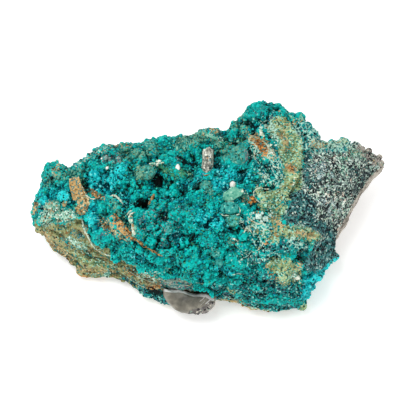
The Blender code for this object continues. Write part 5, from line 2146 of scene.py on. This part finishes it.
    def add_clouds(self, obj: Object, side: np.ndarray, masks: dict[Tone, np.ndarray]) -> None:
        """Adds the clouds of tones on the hidden walls and in the speckled grain.

        Args:
            obj: The rock.
            side: How far each point belongs to the worn side.
            masks: The painted tones, which are added to.
        """
        points = vertex_array(obj.data) / MM
        facing = vertex_array(obj.data, "normal") @ OUTWARD
        hidden = ramp(facing, 0.1, -0.25) * (1.0 - side)
        speckled = ramp(masks[Tone.SPECK], 0.5, 0.5) * (1.0 - side)
        for clouds, where in ((BACK_CLOUDS, hidden), (SPECK_CLOUDS, speckled)):
            for cloud in clouds:
                masks[cloud.tone] = np.maximum(masks[cloud.tone], cloud.lies(points, where))
        masks[Tone.BEIGE] = np.maximum(masks[Tone.BEIGE], side)
        for tone in (Tone.BEIGE, *(cloud.tone for cloud in BACK_CLOUDS + SPECK_CLOUDS)):
            store(obj.data, tone.layer, masks[tone])

    def stain(self, places: np.ndarray, normals: np.ndarray, gap: np.ndarray,
              masks: dict[Tone, np.ndarray]) -> np.ndarray:
        """Tells where the crust's colour has crept over the rock beside it.

        Args:
            places: The rock's points, in metres.
            normals: Their normals.
            gap: How far they lie from the crust, in millimetres.
            masks: Their painted tones.

        Returns:
            For each vertex, from 0 on bare rock to 1 where the stain is full.
        """
        away = ramp(normals @ OUTWARD, 0.1, -0.4)
        drips = uneven(places / MM * np.array(self.drip_grain), self.drip_size, 7)
        reach = (self.creep + self.back_creep * away) * (1.0 + self.drip * drips)
        bare = np.maximum.reduce([masks[t] for t in (Tone.MOSS, Tone.SPECK, Tone.OLIVE)]) * (1.0 - away)
        kept = 1.0 - self.bare_loss * np.clip(bare, 0.0, 1.0)
        return np.clip(0.5 + (reach * kept - gap) / self.creep_edge, 0.0, 1.0)


# ---------------------------------------------------------------------------------------------------
# The studio
# ---------------------------------------------------------------------------------------------------


@dataclass(frozen=True)
class Lamp:
    """A square soft light: its place and width in metres, and its strength in watts."""

    name: str
    place: tuple[float, float, float]
    width: float
    watts: float


@dataclass
class Studio:
    """A pale floor, soft lights and the camera. The picture's own sizes are in millimetres."""

    picture_width: float = 416 * 0.3077
    centre: Place = (0.46, 0.615)
    depth: float = 20.0
    lens: float = 400.0
    sensor: float = 36.0
    clip: tuple[float, float] = (0.01, 50.0)
    floor_half: float = 3.0
    floor_drop: float = 0.00005
    floor_glow: float = 0.30
    paper_roughness: float = 0.9
    paper_shine: float = 0.1
    surround: float = 0.78
    lit_point: tuple[float, float, float] = (0.0, 0.0, 0.02)
    lamps: tuple[Lamp, ...] = (
        Lamp("key", (-0.28, 0.0, 0.85), 0.45, 3.6),
        Lamp("fill", (0.20, -0.70, 0.50), 0.60, 0.8),
    )

    def build(self) -> None:
        """Makes the floor, the lights and the camera."""
        bpy.context.scene.view_settings.view_transform = "Standard"
        self.floor()
        self.lights()
        self.camera()

    def floor(self) -> None:
        """Makes the floor that the stone lies on: matt white paper, lit up a little by itself."""
        mesh = bpy.data.meshes.new("floor")
        half, level = self.floor_half, -self.floor_drop
        sheet = [(x * half, y * half, level) for x, y in ((-1, -1), (1, -1), (1, 1), (-1, 1))]
        mesh.from_pydata(sheet, [], [(0, 1, 2, 3)])
        floor = new_object("floor", mesh)
        material = bpy.data.materials.new("matt_white_paper")
        material.use_nodes = True
        inputs = material.node_tree.nodes["Principled BSDF"].inputs
        inputs["Base Color"].default_value = inputs["Emission Color"].default_value = linear("ffffff")
        inputs["Emission Strength"].default_value = self.floor_glow
        inputs["Roughness"].default_value = self.paper_roughness
        inputs["Specular IOR Level"].default_value = self.paper_shine
        mesh.materials.append(material)
        floor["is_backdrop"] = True

    def lights(self) -> None:
        """Makes a broad key light from the upper left, a fill and an even surround."""
        scene = bpy.context.scene
        scene.world = bpy.data.worlds.new("surround")
        scene.world.use_nodes = True
        background = scene.world.node_tree.nodes["Background"].inputs
        background["Color"].default_value = linear("ffffff")
        background["Strength"].default_value = self.surround
        for lamp in self.lamps:
            light = bpy.data.lights.new(lamp.name, "AREA")
            light.size = lamp.width
            light.energy = lamp.watts
            obj = bpy.data.objects.new(lamp.name, light)
            scene.collection.objects.link(obj)
            obj.location = lamp.place
            aim = Vector(self.lit_point) - Vector(lamp.place)
            obj.rotation_euler = aim.to_track_quat("-Z", "Y").to_euler()

    def camera(self) -> None:
        """Makes the camera, which looks down over the front edge through a long lens."""
        across, up = self.centre
        target = Vector((across, (up - self.depth * COS_E) / SIN_E + FOOTPRINT_SHIFT, self.depth)) * MM
        data = bpy.data.cameras.new("camera")
        data.lens = self.lens
        data.sensor_width = self.sensor
        data.clip_start, data.clip_end = self.clip
        camera = bpy.data.objects.new("camera", data)
        bpy.context.scene.collection.objects.link(camera)
        distance = self.picture_width * MM * self.lens / self.sensor
        camera.location = target + TOWARD_VIEWER * distance
        camera.rotation_euler = (math.pi / 2 - ELEVATION, 0.0, 0.0)
        bpy.context.scene.camera = camera


def corners(limits: tuple[Vector, Vector]) -> list[list[float]]:
    """Turns two corners into plain lists."""
    return [list(limits[0]), list(limits[1])]


def main() -> None:
    """Builds every piece around the frame and dresses it."""
    logging.basicConfig(level=logging.INFO, format="%(message)s")
    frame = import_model()
    cad_box = corners(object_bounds())
    nodes = frame["nodes"]
    chrysocolla, host_rock = CHRYSOCOLLA.material(), HOST_ROCK.material()
    weathering, growth = weathering_tree(), growth_tree()

    skin = Crust(nodes["chrysocolla_crust"], nodes["host_rock"]).skin(weathering, chrysocolla)
    rock = HostRock(nodes["host_rock"], nodes["chrysocolla_crust"]).body(weathering, host_rock)
    strewn = [spread.grow(skin, growth, chrysocolla) for spread in BEADS]
    for beads in strewn:
        finish_piece(beads, chrysocolla, "chrysocolla")
    grains = ROCK_GRAINS.grow(rock, growth, host_rock)
    finish_piece(grains, host_rock, "host_rock")
    outliers = OUTLIERS.grow(rock, growth, chrysocolla)
    finish_piece(outliers, chrysocolla, "chrysocolla")

    surface = Surface(skin, rock, strewn[0], outliers)
    vein = vein_tree()
    chip, iron, rim, seam = (
        finish.material() for finish in (MINT_CHIP, IRON_CREST, SILICA_RIM, SILICA_SEAM)
    )
    for maker, material, slot in (
        (Domes(surface), DUSTY_DOME.material(), "chrysocolla"),
        (Domes(surface, "white_tips", TIPS, 3), WHITE_TIP.material(), "quartz"),
        (Domes(surface, "tip_knobs", TIP_KNOBS, 3, 0.7), host_rock, "host_rock"),
        (Domes(surface, "mint_nodules", NODULES, 3, 0.5), chip, "chrysocolla"),
        (Chips(surface, "mint_chips", CHIPS), chip, "chrysocolla"),
        (Chips(surface, "rust_plates", RUST_PLATES), iron, "host_rock"),
        (Chips(surface, "tan_plate", TAN_PLATES), SANDY_PLATE.material(), "host_rock"),
        (Veins(surface, "cream_rims", CREAM_ROUTES, vein, rim, wobble=0.8, wobble_size=1.0), rim, "quartz"),
        (Veins(surface, "mint_ridges", MINT_ROUTES, vein, rim, wobble=1.1, seed=90), rim, "quartz"),
        (Veins(surface, "rust_crests", RUST_ROUTES, vein, iron, seed=50), iron, "host_rock"),
        (Veins(surface, "silica_seams", SEAM_ROUTES, vein, seam, seed=70), seam, "host_rock"),
        (Cubes(surface), MINT_BLOCK.material(), "quartz"),
    ):
        finish_piece(maker.build(), material, slot)
    finish_piece(skin, chrysocolla, "chrysocolla", "chrysocolla_crust")
    finish_piece(rock, host_rock, "host_rock", "host_rock")
    lump = Chalcedony(nodes["chalcedony_lump"]).build()
    finish_piece(lump, CHALCEDONY.material(), "chalcedony", "chalcedony_lump")
    prism = QuartzPrism(nodes["quartz_prism"]).build()
    finish_piece(prism, QUARTZ.material(), "quartz", "quartz_prism")

    Studio().build()
    {"cad": cad_box, "visual": corners(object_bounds())}


if __name__ == "__main__":
    main()
